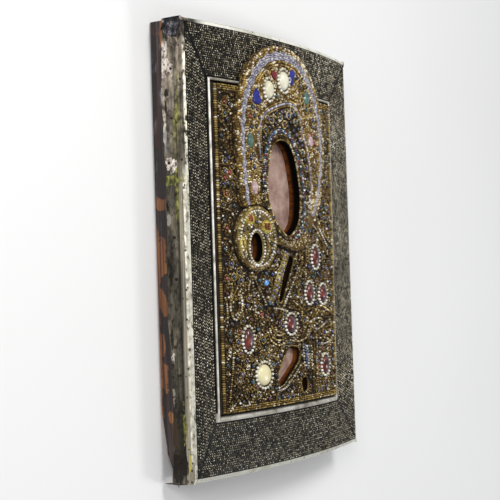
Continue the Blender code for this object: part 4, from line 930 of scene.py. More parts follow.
# Plain-woven silk, dyed brown: gold threads on a near black ground. They are 0.35 mm apart, twice the real
# spacing, so that they show.
silk, tree, shader, place = start_material("brown_silk_ground", Roughness=0.7)
weave = add(
    tree, "ShaderNodeTexWave", {"Vector": place, "Scale": 900.0, "Distortion": 6.0, "Detail": 2},
    wave_type="BANDS", bands_direction="DIAGONAL",
)
cloudy = add(tree, "ShaderNodeTexNoise", {"Vector": place, "Scale": 160.0, "Detail": 4})
dyed = add(tree, "ShaderNodeValToRGB", {0: cloudy}, [(0.3, "#130d07"), (0.5, "#2a1e10"), (0.7, "#463619")])
threads = add(tree, "ShaderNodeValToRGB", {0: weave}, [(0.2, "#3a2813"), (0.8, "#c59a4c")])
dyed = add(tree, "ShaderNodeMix", {0: 0.5, 6: dyed, 7: threads}, data_type="RGBA", blend_type="MULTIPLY")
bump = add(tree, "ShaderNodeBump", {"Strength": 0.6, "Distance": 0.0005, "Height": weave})
connect(tree, shader, {"Base Color": dyed, "Normal": bump})
EDGE_IN = 0.1
low, high = FIELD_BOTTOM + EDGE_IN, FIELD_TOP - EDGE_IN
corners = [
    (FIELD_LEFT + EDGE_IN, low), (field_right(FIELD_BOTTOM) - EDGE_IN, low),
    (field_right(FIELD_TOP) - EDGE_IN, high), (FIELD_LEFT + EDGE_IN, high),
]
field_loop = []
for here, there in zip(corners, corners[1:] + corners[:1]):
    field_loop += resampled([here, there], 3.0)[:-1]


def cover_top(x, y):
    """The ground swells and sinks a little between the cords that hold it down."""
    wave = math.sin(x * 0.31 + 1.3 * math.sin(y * 0.17)) * math.sin(y * 0.27 + math.sin(x * 0.13))
    return COVER_LEVEL - 0.35 + 0.35 * wave


sewn_plate(
    "cover_ground", [field_loop, FACE_WINDOW, CHILD_WINDOW, SLIT_WINDOW, HAND_WINDOW, SMALL_WINDOW],
    cover_top, lambda x, y: ARK_FLOOR + 0.3, 3.0, silk, ["embroidered_cover"],
)

# The windows' cut edges are lined with orange-brown silk, quite matt, its threads running down. It darkens
# towards the top.
lining, tree, shader, place = start_material("orange_brown_lining", Roughness=0.9, Specular_IOR_Level=0.05)
level, axes = height_over_front(tree, place)
threads = add(
    tree, "ShaderNodeTexNoise",
    {
        "Vector": add(tree, "ShaderNodeMapping", {"Vector": place, "Scale": (400, 400, 90)}), "Scale": 1.0,
        "Detail": 3,
    },
)
deep = add(tree, "ShaderNodeValToRGB", {0: threads}, [(0.3, "#43230d"), (0.6, "#74431d")])
deep = laid_over(tree, deep, "#060403", (level, -1.4, 2.4))
# The slit and the small window are too narrow for light to reach their walls.
deep = laid_over(
    tree, deep, "#0a0604", (axes[0], -0.034, -0.032), (axes[1], -0.002, -0.004), (axes[1], -0.0425, -0.0405),
    0.85,
)
deep = laid_over(tree, deep, "#0a0604", (axes[0], 0.0025, 0.0035), (axes[1], -0.088, -0.090), 0.75)
connect(tree, shader, {"Base Color": deep})
LINING = 0.45
lining_points, lining_faces = [], []
for loop, top in (
    (FACE_WINDOW, HALO_LEVEL), (CHILD_WINDOW, CHILD_LEVEL), (SLIT_WINDOW, COVER_LEVEL),
    (HAND_WINDOW, COVER_LEVEL), (SMALL_WINDOW, COVER_LEVEL),
):
    loop = turned_loop(loop, True)
    inner = offset(loop, LINING + 0.1, True)
    outer = offset(loop, 0.1, True)
    first, count = len(lining_points), len(loop)
    for ring, height in ((outer, ARK_FLOOR + 0.1), (outer, top), (inner, top), (inner, ARK_FLOOR + 0.1)):
        lining_points += [(x, y, front(x) + height) for x, y in ring]
    for k in range(4):
        here, there = first + k * count, first + (k + 1) % 4 * count
        for i in range(count):
            j = (i + 1) % count
            lining_faces.append((here + i, here + j, there + j, there + i))
made_piece("window_linings", lining_points, lining_faces, lining)


# Purl: springs of gilt wire, cut and sewn down over cord, so that each cord shows close ribs across it.
# This tree sets one bead or rib after another along a line, turned along it.
STRUNG_INPUTS = [("Pitch", "Float")] + SEWN_INPUTS


def strung_tree(name, sides, rings):
    """Beads or ribs at an even pitch along each line."""
    tree, given = new_tree(name, STRUNG_INPUTS)
    thread = add(tree, "GeometryNodeMeshToCurve", {"Mesh": given["Geometry"]})
    spaced = add(
        tree, "GeometryNodeResampleCurve", {"Curve": thread, "Length": given["Pitch"]}, mode="LENGTH"
    )
    along = add(tree, "GeometryNodeInputTangent")
    turn = add(tree, "FunctionNodeAlignRotationToVector", {"Vector": along}, axis="X")
    ball, scale = ball_and_scale(tree, given, sides, rings)
    beads = add(tree, "GeometryNodeInstanceOnPoints", {
        "Points": spaced, "Instance": ball, "Rotation": turn, "Scale": scale,
    })
    end_tree(tree, beads, given["Material"])
    return tree


STRUNG = strung_tree("strung_beads", 6, 4)
STRUNG_ROUND = strung_tree("strung_pearls", 8, 6)


def gilt(name, dark, mid, light, glint="#f2ead2", metallic=0.55, roughness=0.34, bright_share=0.07):
    """Gilt wire or gilt glass beads, each worn in its own way: brown, khaki, gold or rubbed pale."""
    material, tree, shader, place = start_material(name, Metallic=metallic, Roughness=roughness)
    broad = add(tree, "ShaderNodeTexNoise", {"Vector": place, "Scale": 60.0, "Detail": 4})
    soiled = add(
        tree, "ShaderNodeValToRGB", {0: broad}, [(0.32, "#7d7468"), (0.5, "#cfc8bd"), (0.62, "#ffffff")]
    )
    top = 1 - bright_share
    each = add(
        tree, "ShaderNodeValToRGB", {0: own_shade(tree)},
        [(0.0, dark), (0.45, mid), (top - 0.04, light), (top, glint)],
    )
    worn = add(
        tree, "ShaderNodeMix", {0: 0.7, 6: each, 7: soiled}, data_type="RGBA", blend_type="MULTIPLY"
    )
    connect(tree, shader, {"Base Color": worn})
    return material


# Ribs of gilt purl are khaki with few glints, the old beads near black to dull gold, the string beads cream
# and the halo's beads yellow gold. Yellow silk shows through the worn gilt of the small halo's edge.
gilt_column = gilt("gilt_purl_ribs", "#4b3a18", "#9a7f40", "#c9ae66", bright_share=0.04)
gilt_dull = gilt("worn_gilt_beads", "#1d140a", "#6a532a", "#b0955a", bright_share=0.07)
string_bead = gilt(
    "cream_and_gilt_beads", "#8a7440", "#cfc09a", "#efe8d4", "#fdfaf0", metallic=0.15, bright_share=0.3
)
gilt_halo = gilt(
    "gilt_halo_beads", "#5c4418", "#b08e44", "#dcc27a", "#fcf3d8", metallic=0.45, bright_share=0.2
)
gilt_yellow = gilt("yellow_silk_and_gilt", "#5f4d1e", "#a0884a", "#d3bf82", metallic=0.3, roughness=0.45)


def raised(line, level):
    """The line at one height over the front."""
    return [(x, y, level) for x, y in line]


def strung(
    name, lines, material, slot, pitch, length, width, height, closed=False, wander=0.08, seed=1, tree=None,
    replaced=(),
):
    """Beads or ribs along lines; all sizes in millimetres."""
    grown(
        name, lines_mesh(name, lines, closed), tree or STRUNG, slot, replaced, pitch=pitch * MM,
        length=length * MM, width=width * MM, height=height * MM, wander=wander, seed=seed, material=material,
    )


COLUMN_IN = 2.0
left_column = [
    (FIELD_LEFT + COLUMN_IN, y, COVER_LEVEL + 0.5) for y in (FIELD_BOTTOM + 1.5, 0.0, FIELD_TOP - 1.5)
]
right_column = [
    (field_right(y) - 3.2, y, COVER_LEVEL + 0.5) for y in (FIELD_BOTTOM + 1.5, 0.0, FIELD_TOP - 1.5)
]
strung(
    "edge_columns", [left_column, right_column], gilt_column, "gold_thread", 1.6, 1.75, 3.7, 2.3, wander=0.04
)
edge_rows = []
for y in (
    FIELD_BOTTOM + 0.9, FIELD_BOTTOM + 2.3, FIELD_BOTTOM + 3.7, FIELD_TOP - 0.9, FIELD_TOP - 2.3,
    FIELD_TOP - 3.7,
):
    edge_rows.append([(x, y, COVER_LEVEL + 0.3) for x in np.linspace(FIELD_LEFT + 5, field_right(y) - 6, 40)])
strung("edge_rows", edge_rows, gilt_column, "gold_thread", 1.4, 1.3, 1.4, 1.5, wander=0.12)


# The set stones: domes of red glass and of mother-of-pearl in a low sewn collar, each ringed with pearls
# as the solids are. Polished, they mirror the bright room at their far side; on the red ones it is painted
# too.
def glassy(name, dark, light, roughness, scale=240.0, coat=0.0):
    """Glass or polished stone, clouded between two close colours."""
    material, tree, shader, place = start_material(name, Roughness=roughness, IOR=1.52, Coat_Weight=coat)
    veins = add(tree, "ShaderNodeTexNoise", {"Vector": place, "Scale": scale, "Detail": 3})
    veined = add(tree, "ShaderNodeValToRGB", {0: veins}, [(0.35, dark), (0.65, light)])
    connect(tree, shader, {"Base Color": veined})
    return material


# Each red stone is clear red on its left, with a grey-mauve painted reflection of the room on its right.
red_glass, tree, shader, place = start_material("dark_red_glass", Roughness=0.24, IOR=1.52, Coat_Weight=0.25)
veins = add(tree, "ShaderNodeTexNoise", {"Vector": place, "Scale": 260.0, "Detail": 4})
clear = add(tree, "ShaderNodeValToRGB", {0: veins}, [(0.35, "#33100d"), (0.55, "#6a2a20"), (0.7, "#8a4030")])
cloudy = add(tree, "ShaderNodeValToRGB", {0: veins}, [(0.35, "#332a2d"), (0.65, "#6a5a60")])
mirrored_side = add(tree, "ShaderNodeAttribute", attribute_name="across").outputs["Fac"]
wavy = add(tree, "ShaderNodeMath", {0: veins, 1: 1.2, 2: mirrored_side}, operation="MULTIPLY_ADD")
connect(tree, shader, {"Base Color": laid_over(tree, clear, cloudy, (wavy, 0.30, 0.62), 0.92)})
# Mother-of-pearl, cut and polished: cream, in broad soft clouds of 20 mm, yellowed on the round one. The
# blue stone is glass, sky blue and clear.
white_nacre = glassy("cream_mother_of_pearl", "#d6cfb0", "#ece7d2", 0.3, scale=50.0, coat=0.2)
yellow_nacre = glassy("yellowed_mother_of_pearl", "#c9bb80", "#e8deb2", 0.3, scale=60.0, coat=0.2)
blue_glass = glassy("sky_blue_glass", "#3f86d6", "#86bff2", 0.12, coat=0.5)
# River pearls: each its own cream, some greyed, with a soft wide highlight under a thin coat.
pearl, tree, shader, place = start_material("river_pearl", Roughness=0.26, Coat_Weight=0.3)
each = add(
    tree, "ShaderNodeValToRGB", {0: own_shade(tree)},
    [(0.0, "#8d8471"), (0.2, "#cfc7b2"), (0.6, "#ece6d6"), (1.0, "#fdfbf4")],
)
connect(tree, shader, {"Base Color": each})
STONES = [
    ("crown_stone_left", -33.4, 113.3, 4.5, 6.6, HALO_LEVEL, white_nacre),
    ("crown_stone_right", -14.5, 121.7, 5.6, 7.0, HALO_LEVEL, white_nacre),
    ("red_stone_shoulder", 30.0, -5.8, 4.7, 7.4, COVER_LEVEL, red_glass),
    ("red_stone_breast", 18.7, -32.5, 4.9, 6.9, COVER_LEVEL, red_glass),
    ("red_stone_edge", 40.8, -33.7, 5.6, 6.0, COVER_LEVEL, red_glass),
    ("red_stone_left", -60.7, -63.0, 4.4, 7.6, COVER_LEVEL, red_glass),
    ("red_stone_middle", -9.1, -54.5, 6.0, 6.0, COVER_LEVEL, red_glass),
    ("red_stone_sleeve", 41.2, -87.3, 5.4, 6.5, COVER_LEVEL, red_glass),
    ("white_stone_round", -44.2, -88.7, 7.5, 7.5, COVER_LEVEL, yellow_nacre),
    ("turquoise_stone", -37.3, -24.1, 2.3, 2.3, COVER_LEVEL, blue_glass),
]
STONE_HEIGHT = 3.8
STONE_FOOT = 0.4
PEARL_SIZE = 2.9
for name, x, y, a, b, level, look in STONES:
    ringed = name != "turquoise_stone"
    rise = STONE_HEIGHT if ringed else STONE_HEIGHT * 0.4
    around, up = 28, 9
    points, faces = [], []
    foot = level - STONE_FOOT
    profile = [(1.0, 0.0), (1.0, 0.12)]
    profile += [
        (math.cos(math.pi / 2 * k / up) ** 0.85, 0.12 + 0.88 * math.sin(math.pi / 2 * k / up))
        for k in range(1, up)
    ]
    for share, lift in profile:
        for i in range(around):
            turn = 2 * math.pi * i / around
            px, py = x + a * share * math.cos(turn), y + b * share * math.sin(turn)
            points.append((px, py, front(px) + foot + (rise + STONE_FOOT) * lift))
    points.append((x, y, front(x) + foot + rise + STONE_FOOT))
    faces.append(tuple(reversed(range(around))))
    for row in range(len(profile) - 1):
        for i in range(around):
            j = (i + 1) % around
            faces.append((row * around + i, row * around + j, (row + 1) * around + j, (row + 1) * around + i))
    last = (len(profile) - 1) * around
    faces += [(last + i, last + (i + 1) % around, len(points) - 1) for i in range(around)]
    mesh = made_piece(name + "_dome", points, faces, look, 60, [name])
    across = [(px - x) / a for px, *_ in points]
    mesh.attributes.new("across", "FLOAT", "POINT").data.foreach_set("value", across)
    if ringed:
        ring = oval(x, y, a + PEARL_SIZE / 2 + 0.4, b + PEARL_SIZE / 2 + 0.4, 0.8)
        girth = sum(math.dist(p, q) for p, q in zip(ring, ring[1:] + ring[:1]))
        pearls = round(girth / PEARL_SIZE)
        strung(
            name + "_pearl_ring", [raised(ring, level + 1.1)], pearl, "pearl", girth / pearls * 1.002,
            PEARL_SIZE * 0.72, PEARL_SIZE * 0.74, PEARL_SIZE * 0.76, closed=True, wander=0.1,
            tree=STRUNG_ROUND, replaced=[name + "_pearls"],
        )


# A map of the cover in half-millimetre cells says what is already sewn, so that later work goes between.
CELL = 0.5
MAP_LEFT = -92
MAP_BOTTOM = -116
map_x, map_y = np.meshgrid(
    np.arange(MAP_LEFT, 70, CELL), np.arange(MAP_BOTTOM, 150, CELL), indexing="ij"
)
on_field = inside(map_x, map_y, field_loop)
halo_loop = turned_loop(HALO_ARC + HALO_FOOT[1:], True)
in_halo = inside(map_x, map_y, halo_loop) | inside(map_x, map_y, CHILD_EDGE)
windows = np.zeros(map_x.shape, bool)
for loop in (FACE_WINDOW, CHILD_WINDOW, SLIT_WINDOW, HAND_WINDOW, SMALL_WINDOW):
    windows |= inside(map_x, map_y, loop) | (distance(map_x, map_y, loop) < 1.6)
near_halo = (distance(map_x, map_y, halo_loop) < 2.2) | (distance(map_x, map_y, CHILD_EDGE) < 2.2)


def kept_clear(at_left, at_right, round_ringed, round_single):
    """The cells off the cover or too near its edges, its windows, the haloes or a set stone."""
    mask = ~on_field | in_halo | windows | near_halo
    mask |= (map_x < FIELD_LEFT + at_left) | (map_x > field_right(map_y) - at_right)
    mask |= (map_y < FIELD_BOTTOM + 4.8) | (map_y > FIELD_TOP - 4.8)
    for name, x, y, a, b, *_ in STONES:
        reach = round_ringed if name != "turquoise_stone" else round_single
        mask |= ((map_x - x) / (a + reach)) ** 2 + ((map_y - y) / (b + reach)) ** 2 < 1
    return mask


taken = kept_clear(4.6, 5.6, 3.6, 0.8)


def cell(x, y):
    """The map's cell at a place."""
    return int(round((x - MAP_LEFT) / CELL)), int(round((y - MAP_BOTTOM) / CELL))


def mark(mask, line, reach):
    """Marks every cell within reach of a line of points."""
    cells = int(math.ceil(reach / CELL))
    for point in resampled(list(line), 1.0) if len(line) > 1 else line:
        i, j = cell(*point[:2])
        low_i, low_j = max(i - cells, 0), max(j - cells, 0)
        box = (slice(low_i, i + cells + 1), slice(low_j, j + cells + 1))
        mask[box] |= np.hypot(map_x[box] - point[0], map_y[box] - point[1]) < reach


def is_free(mask, x, y, reach):
    """Whether no cell within reach of a place is marked."""
    cells = max(1, int(reach / CELL))
    i, j = cell(x, y)
    if i < cells or j < cells or i + cells >= mask.shape[0] or j + cells >= mask.shape[1]:
        return False
    return not mask[i - cells : i + cells + 1, j - cells : j + cells + 1].any()


def open_runs(line, hidden, least):
    """The parts of a line that aren't hidden, each with more points than the least."""
    runs, run = [], []
    for point in line + [None]:
        if point and not hidden(point):
            run.append(point)
            continue
        if len(run) > least:
            runs.append(run)
        run = []
    return runs


# The drapery and flowers on the cover are drawn in cords of purl, with seed pearls along some of them.
CORDS = [
    [(-53.5, -19.5), (-47, -29), (-40.2, -39.5)],
    [(-57, -17), (-56, -32), (-53.5, -47)],
    [(5.5, -3), (7.2, -9), (-1.3, -23), (-11, -34), (-18.5, -42.5)],
    [(27, 19), (36, 12), (46, 2), (56, -7)],
    [(21, 14), (17, 2), (13, -10), (6, -20)],
    [(12.5, -46), (22, -44), (32, -46.5), (42, -51), (54, -52)],
    [(7, -62), (15, -55), (26, -55), (38, -59), (54, -58)],
    [(6.5, -66), (7, -78), (8, -89)],
    [(15.5, -64), (16, -76), (16.5, -88)],
    [(22, -62), (24, -76), (22, -92), (20, -104)],
    [(-33, -70), (-30, -62), (-22, -58), (-20, -68), (-27, -74)],
    [(-35, -104), (-24, -101.5), (-12, -95), (0, -87), (4, -84)],
    [(-82, -104), (-78.5, -99), (-73, -104), (-68, -100), (-62, -106)],
    [(-84, 106), (-76, 108), (-68, 104), (-66, 97), (-72, 93), (-76, 97)],
    [(-66, -84), (-74, -80), (-76, -90), (-70, -96), (-62, -92)],
    [(26, -66), (36, -67), (46, -65), (55, -68)],
    [(1.1, -67.8), (8.9, -61), (16.7, -51), (25.6, -43.9)],
    [(-13, -42), (-2, -44), (6, -44), (11, -40)],
    [(-30, -42), (-27, -50), (-22, -46), (-24, -41)],
    [(-84, 88), (-78, 84), (-75, 77), (-79, 71), (-84, 68)],
    [(-71.5, 84), (-73, 77), (-72, 70)],
    [(-84, 25), (-78, 27), (-73, 24), (-71, 18)],
    [(-84, 7), (-78, 6), (-74, 1), (-77, -4), (-83, -4)],
]
cords = [curve(keys, 2.0, closed=False) for keys in CORDS]
long_flower = [
    (-73.1 + 4.6 * math.cos(t * math.pi / 4), -36.3 + 9.6 * math.sin(t * math.pi / 4)) for t in range(9)
]
cords.append(curve(long_flower, 2.0, closed=False))
kept_cords = []
for line in cords:
    kept_cords += open_runs(line, lambda point: taken[cell(*point)], 2)
strung(
    "drapery_cords", [raised(line, COVER_LEVEL + 0.7) for line in kept_cords], gilt_dull, "gold_thread", 1.1,
    1.3, 1.9, 1.9,
)
for line in kept_cords:
    mark(taken, line, 1.5)

GILT_LINES = [
    [(-47.9, -16.5), (-54.1, -18.6), (-57.4, -23.3), (-58.8, -30.8), (-55.2, -37.7)],
    [(2.6, -2.5), (-2.2, -9.1), (-7.8, -19.7), (-15.1, -31.9), (-16.3, -38.9)],
    [(9.8, -6.0), (7.8, -9.8), (5.4, -14.7), (-0.4, -23.6), (0.9, -29.8), (6.3, -39.6)],
    [(-9.6, -37.3), (-1.6, -39.8), (5.9, -44.4), (6.6, -50.5)],
    [(30.6, -43.9), (23.3, -49.2), (17.0, -57.0), (10.8, -65.7), (-1.8, -67.4), (-11.1, -66.0)],
    [(32.6, -46.0), (25.3, -51.3), (19.0, -59.0), (12.8, -67.5)],
    [(32.5, -42.4), (39.9, -43.2), (50.8, -46.9), (56.7, -49.5)],
    [(-76.7, -64.2), (-76.4, -70.0), (-77.5, -82.3), (-78.9, -90.4), (-81.4, -102.5)],
    [
        (-70.9, -27.3), (-76.5, -34.7), (-78.0, -42.4), (-74.2, -48.4), (-67.8, -46.6), (-65.9, -37.3),
        (-67.8, -29.4),
    ],
    [(-83.0, -33.5), (-81.4, -38.5), (-81.2, -44.3), (-81.3, -50.1)],
    [(-36.4, -56.7), (-33.1, -62.9), (-25.8, -65.5), (-17.6, -64.5)],
    [(-34.1, -55.1), (-30.0, -60.5), (-24.1, -62.1), (-18.4, -61.1)],
    [(-38.6, -59.2), (-34.7, -65.4), (-26.7, -68.9), (-18.3, -68.0)],
    [(27.8, -64.5), (28.4, -73.0), (26.8, -81.1), (27.2, -90.2), (25.5, -99.2)],
    [(-65.2, -30.7), (-64.8, -35.7), (-66.3, -40.6), (-65.9, -45.7)],
    [(36.5, 22), (42, 16), (50, 9.5), (57, 6)],
]
not_over = windows | in_halo


def over_edge(point):
    return not_over[cell(*point)] or point[0] >= field_right(point[1]) - 6


gilt_runs = []
for keys in GILT_LINES:
    gilt_runs += open_runs(curve(keys, 1.0, closed=False), over_edge, 3)
strung(
    "sewn_gilt_lines", [raised(line, COVER_LEVEL + 0.9) for line in gilt_runs], gilt_halo, "gold_thread",
    1.45, 1.35, 1.6, 1.6,
)
for line in gilt_runs:
    mark(taken, line, 1.3)
rims = []
for loop in (SLIT_WINDOW, HAND_WINDOW, SMALL_WINDOW):
    rims.append(raised(offset(turned_loop(loop, True), -0.9, True), COVER_LEVEL + 0.4))
strung("opening_rims", rims, gilt_column, "gold_thread", 1.4, 1.3, 1.4, 1.5, closed=True)

# Small glass stones, pressed and foiled at the back: nearly black until the light comes through, in dark
# blue, green, wine red and smoke, with a few bright ones. Each mirrors a lamp in a small sharp spot.
teal_glass = glassy("dark_teal_glass", "#0a1a1f", "#1d4650", 0.08, coat=0.8)
navy_glass = glassy("dark_blue_glass", "#0a0d26", "#232c66", 0.08, coat=0.8)
wine_glass = glassy("wine_red_glass", "#22070d", "#561623", 0.08, coat=0.8)
black_glass = glassy("smoky_glass", "#0b0a0d", "#2a2530", 0.1, coat=0.8)
scarlet_glass = glassy("scarlet_glass", "#4d090b", "#961a1a", 0.1, coat=0.8)
mauve_glass = glassy("mauve_glass", "#2f2a3a", "#655d72", 0.14, coat=0.6)
COVER_STONES = {
    "scarlet": [
        (-77.6, 100.7), (-74.6, 52.2), (-79.4, 48.7), (-78.4, 37.6), (-78.9, 14.1), (-80.7, -20.3),
        (-45.6, -46.4), (-69.4, -56.9), (30.9, -88.3),
    ],
    "teal": [
        (-77.6, 93.1), (-72.3, 43.6), (-73.4, -19.6), (-45.9, -41.1), (-79.4, -57.8), (-46.7, -76.1),
        (-54.2, -88.3), (-50.6, -102.2), (-37.2, -97.8), (-33.9, -82.2), (-28.3, -106.4), (-17.2, -47.2),
        (-5.0, -66.1), (31.1, -66.7), (33.3, -95.6), (-2.8, -33.9), (23.3, 17.8), (21.7, 2.2), (24.4, -15.9),
        (32.2, 9.5), (56.7, 89), (-43.9, -64.4),
    ],
    "navy": [
        (-78.9, 60.0), (-70.9, -64.4), (-63.3, -78.2), (-6.1, -43.4), (-20.0, -55.6), (-18.9, -63.3),
        (10.6, -52.2), (32.2, -46.3), (41.1, -62.8), (45.6, 7.8), (-15.6, -106.4), (-9.7, -106.7),
        (6.7, -35.6), (47.8, 37), (54.0, 33), (52.2, 24), (38.9, -20.5), (-75.5, -10.5), (-66.0, -22.0),
        (-81, 44),
    ],
    "wine": [
        (-57.2, -49.1), (-49.4, -61.7), (-68.9, -72.2), (-53.9, -96.1), (35.6, -74.4), (49.4, -75),
        (39.4, -100.1), (55.0, -52.6), (32.2, -24.0), (26.1, 8.3), (17.8, -6.7), (47.8, 16.7), (53.9, 63.3),
        (46.1, -20.2), (-72, 56.5), (-70, -27.0), (29.7, -79.4),
    ],
    "black": [
        (-65.6, -50), (-12.8, -68.1), (27.2, -105.6), (37.2, 43.3), (42.5, 32.5), (43.5, 24.2), (56.7, 96.7),
        (56, 70.8), (52.2, 51.7), (53.9, -8.9), (-70, 48), (-68, -16), (-77.5, -26.5), (-82.0, 30),
        (-60, -30), (48, -43), (-25, -68), (54.4, 56.7),
    ],
    "mauve": [
        (-38.9, -75.6), (28.9, -55), (33.3, -105.6), (-58.9, -34.4), (-67.8, -86.7), (49, -14.6), (-79, 53),
        (-66.5, 52.5),
    ],
}
GLASSES = {
    "scarlet": scarlet_glass, "teal": teal_glass, "navy": navy_glass, "wine": wine_glass,
    "black": black_glass,
    "mauve": mauve_glass,
}
SET_STONES = sewn_tree("set_stones", 8, 6)
SEED_BEADS = sewn_tree("seed_beads", 6, 4)
stone_rings = []
set_places = {colour: [] for colour in GLASSES}
for colour, places in COVER_STONES.items():
    for x, y in places:
        if taken[cell(x, y)]:
            continue
        set_places[colour].append((x, y))
        mark(taken, [(x, y)], 2.4)
        stone_rings.append(oval(x, y, 2.4, 2.4, 0.9))
# Between the measured ones more are sewn at random, as thickly as the photograph shows.
tries = random.Random(23)
for _ in range(2600):
    x, y = tries.uniform(-84, 58), tries.uniform(-106, 110)
    if not is_free(taken, x, y, 1.9):
        continue
    colour = tries.choice(["teal", "navy", "wine", "black", "black", "teal", "mauve"])
    set_places[colour].append((x, y))
    mark(taken, [(x, y)], 4.4 + 2.6 * tries.random())


def sewn_stones(prefix, places_by_colour, level, size, wander, seed):
    """Small glass stones of one size, a piece for each colour."""
    length, width, height = size
    for colour, places in places_by_colour.items():
        grown(
            prefix + colour, lines_mesh("at_" + prefix + colour, [[(x, y, level)] for x, y in places]),
            SET_STONES, "blue_stone" if colour in ("teal", "navy") else "red_stone", length=length * MM,
            width=width * MM, height=height * MM, wander=wander, seed=seed, material=GLASSES[colour],
        )


sewn_stones("cover_stones_", set_places, COVER_LEVEL + 0.75, (3.5, 3.1, 2.5), 0.14, 5)

# Vine scrolls in thinner purl fill what is left, one sewn beside the other.
blocked = kept_clear(4.4, 5.4, 3.2, 0.6)
for line in kept_cords:
    mark(blocked, line, 1.4)
for line in gilt_runs:
    mark(blocked, line, 1.2)
for places in set_places.values():
    for point in places:
        mark(blocked, [point], 2.1)


def scrolled(mask, box, tries, count, reaches, gap, spread, steps, turns, taper, least):
    """Spirals sown at random over what is free, each wound in towards its eye, and the places of the eyes."""
    left, bottom, right, top = box
    found, hearts = [], []
    drawn = mask.copy()
    for _ in range(count):
        x, y = tries.uniform(left, right), tries.uniform(bottom, top)
        reach = tries.choice(reaches)
        if not is_free(drawn, x, y, gap):
            continue
        start, way = tries.uniform(0, 6.28), tries.choice((-1, 1))
        spiral = []
        for i in range(steps):
            t = i / (steps - 1)
            angle = start + way * 2 * math.pi * turns * t
            far = reach * (1.15 - taper * t)
            spiral.append((x + far * math.cos(angle), y + far * math.sin(angle)))
        found += open_runs(spiral, lambda point: mask[cell(*point)], least)
        hearts.append((x, y))
        mark(drawn, [(x, y)], reach * spread)
    return found, hearts


tries = random.Random(41)
scrolls, eyes = scrolled(
    blocked, (-84, -108, 60, 110), tries, 5200, (3.9, 3.3, 2.7), gap=0.9, spread=1.32, steps=34, turns=1.75,
    taper=0.95, least=3,
)
half = len(scrolls) // 2
for name, part in (("vine_scrolls_a", scrolls[:half]), ("vine_scrolls_b", scrolls[half:])):
    strung(
        name, [raised(line, COVER_LEVEL + 0.25) for line in part], gilt_dull, "gold_thread", 1.0, 1.15, 1.25,
        1.4, wander=0.12,
    )

# Seed pearls and gilt beads: in rings round the stones, at the hearts of scrolls and in strings.
PEARL_STRINGS = [
    [(-53.5, -19.5), (-47, -29), (-40.2, -39.5)],
    [(-55.2, -17), (-54, -32), (-52.2, -46.7)],
    [(-79.4, -68.3), (-81.5, -73), (-83.9, -77.2)],
    [(-77.2, -31), (-79, -40), (-76, -47.5), (-73.3, -48.9)],
    [(-69.4, -30), (-66.7, -36.7), (-68.3, -43.3), (-73.3, -48.7)],
    [(-81.7, -110), (-77.8, -106.8), (-72.8, -103.9), (-69.4, -107.2), (-63.3, -108), (-57.2, -102.8)],
    [(22.2, -58.9), (28.9, -60), (36.7, -57.8), (43.3, -55.6)],
    [(20, -53.3), (26.7, -51.6), (35, -52.2)],
    [(17.8, -72), (18.9, -76.7), (17.8, -83.3), (18.9, -88.9)],
    [(5.8, -70), (6.4, -78), (7.4, -88)],
    [(-31, -42.5), (-24, -43), (-15, -45)],
    [(2.4, -14), (-6, -25), (-15, -36), (-21, -42.6)],
    [(15.6, 15.6), (18.9, 14.4), (20, 11)],
    [(36, 17), (42, 11), (50, 3)],
    [(-34, -63), (-29, -59), (-22.5, -61), (-21, -68)],
    [(-30, -101), (-20, -99.8), (-10, -93.5), (1, -85.5)],
    [(36, -72), (43, -71), (50, -70)],
]
strings = []
for keys in PEARL_STRINGS:
    run = [point for point in curve(keys, 2.0, closed=False) if point[0] < field_right(point[1]) - 6]
    strings.append(raised(run, COVER_LEVEL + 1.5))
strung("seed_pearl_strings", strings, string_bead, "pearl", 2.15, 1.6, 1.5, 1.5, wander=0.2, seed=2)
strung(
    "stone_collars", [raised(ring, COVER_LEVEL + 0.7) for ring in stone_rings], gilt_column, "gold_thread",
    1.15, 1.1, 1.1, 1.1, closed=True,
)
single = [(x, y, COVER_LEVEL + 1.1) for x, y in eyes if tries.random() < (0.34 if x > -66 else 0.16)]
grown(
    "scattered_seed_pearls", lines_mesh("eyes", [[p] for p in single]), SEED_BEADS, "pearl", length=1.6 * MM,
    width=1.6 * MM, height=1.5 * MM, wander=0.2, seed=9, material=pearl,
)


# Gilt seed beads fill the ground that is left.
def filled(name, blocked, box, level, count, seed):
    """Small beads sown at random over what is still bare."""
    left, bottom, right, top = box
    tries = random.Random(seed)
    bare = blocked.copy()
    beads = []
    for _ in range(count):
        x, y = tries.uniform(left, right), tries.uniform(bottom, top)
        if not bare[cell(x, y)]:
            beads.append([(x, y, level)])
            mark(bare, [(x, y)], 1.15)
    grown(
        name, lines_mesh(name, beads), SEED_BEADS, "gold_thread", length=1.2 * MM, width=1.2 * MM,
        height=1.2 * MM, wander=0.3, seed=seed, material=gilt_dull,
    )


for line in scrolls:
    mark(blocked, line, 0.75)
for line in strings:
    mark(blocked, line, 1.2)
filled("filling_beads", blocked, (-85, -109, 61, 111), COVER_LEVEL + 0.2, 16000, 51)


# The large halo: stuffed board 4 mm high, its scalloped edge bound with gilt beads, then a band of lilac
# silk purl, a gilt row, and a gold ground set with stones. Inside it runs the veil, edged with small beads.
def scalloped(line, pitch, depth, steps):
    """The line bowed outwards between marks a pitch apart."""
    even = resampled(line, pitch)
    fine = []
    for a, b in zip(even, even[1:]):
        dx, dy = b[0] - a[0], b[1] - a[1]
        length = math.hypot(dx, dy)
        for k in range(steps):
            t = k / steps
            out = depth * math.sin(math.pi * t)
            fine.append((a[0] + dx * t - dy / length * out, a[1] + dy * t + dx / length * out))
    fine.append(even[-1])
    return fine


